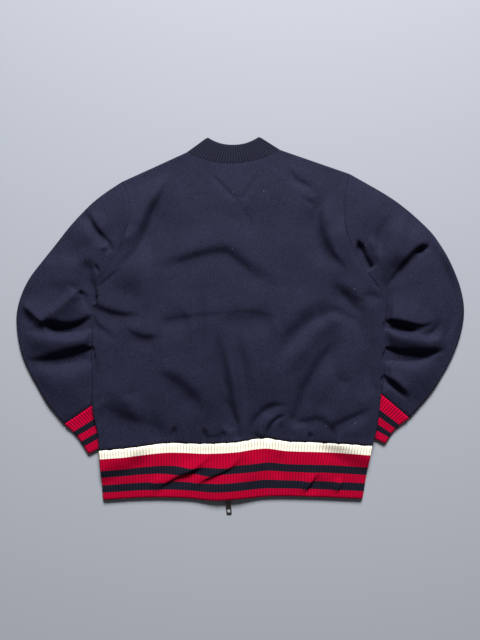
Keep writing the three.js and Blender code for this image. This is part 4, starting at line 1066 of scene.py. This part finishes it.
def finishShader(tree, shader, colour, height, strength, distance):
    settings = {"Strength": strength, "Distance": distance}
    bump = addNode(tree, "Bump", settings, {"Height": height})
    tree.links.new(colour, shader.inputs["Base Color"])
    tree.links.new(bump.outputs["Normal"], shader.inputs["Normal"])


def brushedWool():  # melton: twill woven, fulled and brushed, matt with a short nap
    material, tree, shader = newMaterial("brushed_wool_melton", {
        "Roughness": 0.8, "Specular IOR Level": 0.14, "Specular Tint": linearColour("#8e90bd")})
    place = addNode(tree, "TexCoord").outputs["Object"]
    cut = addNode(tree, "UVMap", {"uv_map": "cut"})
    tone = ramp(tree, noise(tree, place, 0.0018, 3.0, 0.7), (0.38, "#161721"), (0.64, "#28293d"))
    cloud = rescale(tree, noise(tree, place, 0.07, 3.0, 0.6), 0.9, 1.07)
    worn = addNode(tree, "Mix", {"data_type": "RGBA", "blend_type": "MULTIPLY", 0: 1.0},
                   {6: tone, 7: cloud})
    # a few specks of pale lint, about a millimetre across
    speck = addNode(tree, "TexVoronoi", {"voronoi_dimensions": "2D", "Scale": 1 / 0.06},
                    {"Vector": cut.outputs["UV"]})
    pick = addNode(tree, "SeparateColor", links={"Color": speck.outputs["Color"]})
    small = calculate(tree, "LESS_THAN", speck.outputs["Distance"], 0.01)
    rare = calculate(tree, "GREATER_THAN", pick.outputs["Red"], 0.93)
    colour = addNode(tree, "Mix", {"data_type": "RGBA", 7: linearColour("#7c7c8a")},
                     {0: calculate(tree, "MULTIPLY", small, rare), 6: worn.outputs[2]})
    finishShader(tree, shader, colour.outputs[2], noise(tree, place, 0.0014, 2.0, 0.6), 0.5, 0.0007)
    return material


def knittedRib(name, stripes, paintedGrooveShade):  # wool rib: rounded columns of stitches, with painted shade darkening the grooves between them and their crowns painted a little lighter
    material, tree, shader = newMaterial(name, {"Roughness": 0.9, "Specular IOR Level": 0.05})
    cut = addNode(tree, "UVMap", {"uv_map": "cut"})
    parts = addNode(tree, "SeparateXYZ", links={"Vector": cut.outputs["UV"]})
    # painted shade: by each point's place across its rib in the map, the colour is darkened in the groove
    # and lifted a little on the crown
    turn = calculate(tree, "MULTIPLY", parts.outputs["X"], 100 * math.pi)
    crown = calculate(tree, "ABSOLUTE", calculate(tree, "SINE", turn))
    paintedGrooveDarkening = rescale(tree, crown, paintedGrooveShade, 1.1, interpolation_type="SMOOTHSTEP",
                    **{"From Min": 0.1, "From Max": 0.85})
    fleck = noise(tree, addNode(tree, "TexCoord").outputs["Object"], 0.0018, 3.0, 0.65)
    paintedShadeAndFleck = calculate(tree, "MULTIPLY", paintedGrooveDarkening, rescale(tree, fleck, 0.88, 1.1))
    yarn = addNode(tree, "Mix", {"data_type": "RGBA", "blend_type": "MULTIPLY", 0: 1.0,
                                           6: linearColour(stripes["colour"][0])}, {7: paintedShadeAndFleck})
    if len(stripes["colour"]) > 1:
        down = calculate(tree, "MULTIPLY", parts.outputs["Y"], 10.0)
        band = addNode(tree, "ValToRGB", links={"Fac": down})
        band.color_ramp.interpolation = "CONSTANT"
        at = 0.0
        for i, (colour, share) in enumerate(zip(stripes["colour"], stripes["share"])):
            element = band.color_ramp.elements[i] if i < 2 else band.color_ramp.elements.new(at)
            element.position = at
            element.color = linearColour(colour)
            at += share
        tree.links.new(band.outputs["Color"], yarn.inputs[6])
    finishShader(tree, shader, yarn.outputs[2], fleck, 0.5, 0.0007)
    return material


def wovenTape():  # polyester herringbone tape, dark, with a faint gloss
    material, tree, shader = newMaterial("woven_polyester_tape", {"Roughness": 0.75})
    place = addNode(tree, "TexCoord").outputs["Object"]
    settings = {"Scale": 1 / 0.0016 / 6.28, "Distortion": 0.6, "bands_direction": "DIAGONAL"}
    weave = addNode(tree, "TexWave", settings, {"Vector": place}).outputs["Fac"]
    finishShader(tree, shader, ramp(tree, weave, (0, "#14151f"), (1, "#23242f")), weave, 0.3, 0.0002)
    return material


def gunmetal():  # zinc die casting plated dark, worn brighter in patches
    material, tree, shader = newMaterial("gunmetal_plated_zinc", {"Metallic": 1.0})
    wear = noise(tree, addNode(tree, "TexCoord").outputs["Object"], 0.004, 4.0)
    tree.links.new(ramp(tree, wear, (0.35, "#4a413d"), (0.75, "#8a7d72")), shader.inputs["Base Color"])
    rough = rescale(tree, wear, 0.28, 0.5, **{"From Min": 0.0, "From Max": 1.0})
    tree.links.new(rough, shader.inputs["Roughness"])
    return material


hemStripes = table("colour share", ("#f0e9d6", 0.17), ("#9c0027", 0.24), ("#181823", 0.14),
                   ("#9c0027", 0.155), ("#181823", 0.147), ("#9c0027", 0.148))
cuffStripes = table("colour share", ("#a6002c", 0.315), ("#181823", 0.15), ("#a6002c", 0.175),
                    ("#181823", 0.145), ("#a6002c", 0.215))

wool = brushedWool()
# groove gives how dark the painted shade in the grooves between ribs is
collarRib = knittedRib("navy_wool_rib", table("colour share", ("#20212f", 1)), paintedGrooveShade=0.36)
hemRib = knittedRib("striped_hem_rib", hemStripes, paintedGrooveShade=0.6)
cuffRib = knittedRib("striped_cuff_rib", cuffStripes, paintedGrooveShade=0.36)
tape = wovenTape()
metal = gunmetal()


def finishPiece(piece, material, node, body="jacket"):
    piece.data.materials.clear()
    piece.data.materials.append(material)
    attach(piece, body)
    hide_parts(node)
    print(node, "made of", len(piece.data.polygons), "faces")


def wearPiece(piece, node, material, slot, *restsOn):
    finishPiece(piece, material, node)


for side in sides:
    wearPiece(frontPanel(side), "front_" + side, wool, "navy_wool", "sleeve_" + side, "zip_tape_" + side,
              "floor")
    wearPiece(sleevePiece(side), "sleeve_" + side, wool, "navy_wool", "floor")
    wearPiece(cuffPiece(side), "cuff_" + side, cuffRib, "striped_rib", "floor")
wearPiece(backPanel(), "back_panel", wool, "navy_wool", "front_left", "front_right")
wearPiece(hemBand(), "hem_band", hemRib, "striped_rib", "zip_slider", "floor")
wearPiece(collarPiece(), "collar", collarRib, "navy_rib", "zip_tape_left", "zip_tape_right", "floor")
for side in sides:
    finishPiece(teethPiece(side), metal, "zip_chain_" + side)
finishPiece(roundedCopy("zip_slider", "slider", 0.25), metal, "zip_slider")
finishPiece(roundedCopy("zip_pull", "pull", 0.3), metal, "zip_pull", body="pull_tab")
for name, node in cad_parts.items():
    if not node.hide_render:
        node.data.materials.clear()
        node.data.materials.append(tape if name.startswith("zip_tape") else metal)

# Floor, light and camera
floorMaterial = newMaterial("plain_pale_floor", {
    "Base Color": linearColour("#979aa2"), "Roughness": 0.95, "Specular IOR Level": 0.1})[0]
bm = bmesh.new()
bmesh.ops.create_grid(bm, x_segments=1, y_segments=1, size=30,
                      matrix=Matrix.Translation((0, 0, -0.0005)))
floor = meshPiece("floor", bm)
floor.data.materials.append(floorMaterial)

studio = {
    "place": (0.3, 3.6, 2.6),
    "aim": (0.0, 0.2, 0),
    "size": 1.6,
    "power": 152,
    "spread": 100,
    "sky": 0.12,
    "skyColour": (0.9, 0.95, 1, 1),
}
light = bpy.data.lights.new("key", "AREA")
light.size = studio["size"]
light.energy = studio["power"]
light.spread = math.radians(studio["spread"])
lamp = addObject("key", light)
lamp.location = studio["place"]
lamp.rotation_mode = "QUATERNION"
lamp.rotation_quaternion = (Vector(studio["aim"]) - lamp.location).to_track_quat("-Z", "Y")
world = bpy.data.worlds.new("studio")
world.use_nodes = True
world.node_tree.nodes["Background"].inputs["Color"].default_value = studio["skyColour"]
world.node_tree.nodes["Background"].inputs["Strength"].default_value = studio["sky"]
bpy.context.scene.world = world
bpy.context.scene.view_settings.view_transform = "Standard"  # cream and red keep their own colours

camera = addObject("camera", bpy.data.cameras.new("camera"))
camera.data.lens = 33.75
camera.data.sensor_width = 36
camera.location = (-0.0006, -0.0795, 1.1971)
camera.rotation_euler = (math.radians(4), 0, 0)
bpy.context.scene.camera = camera
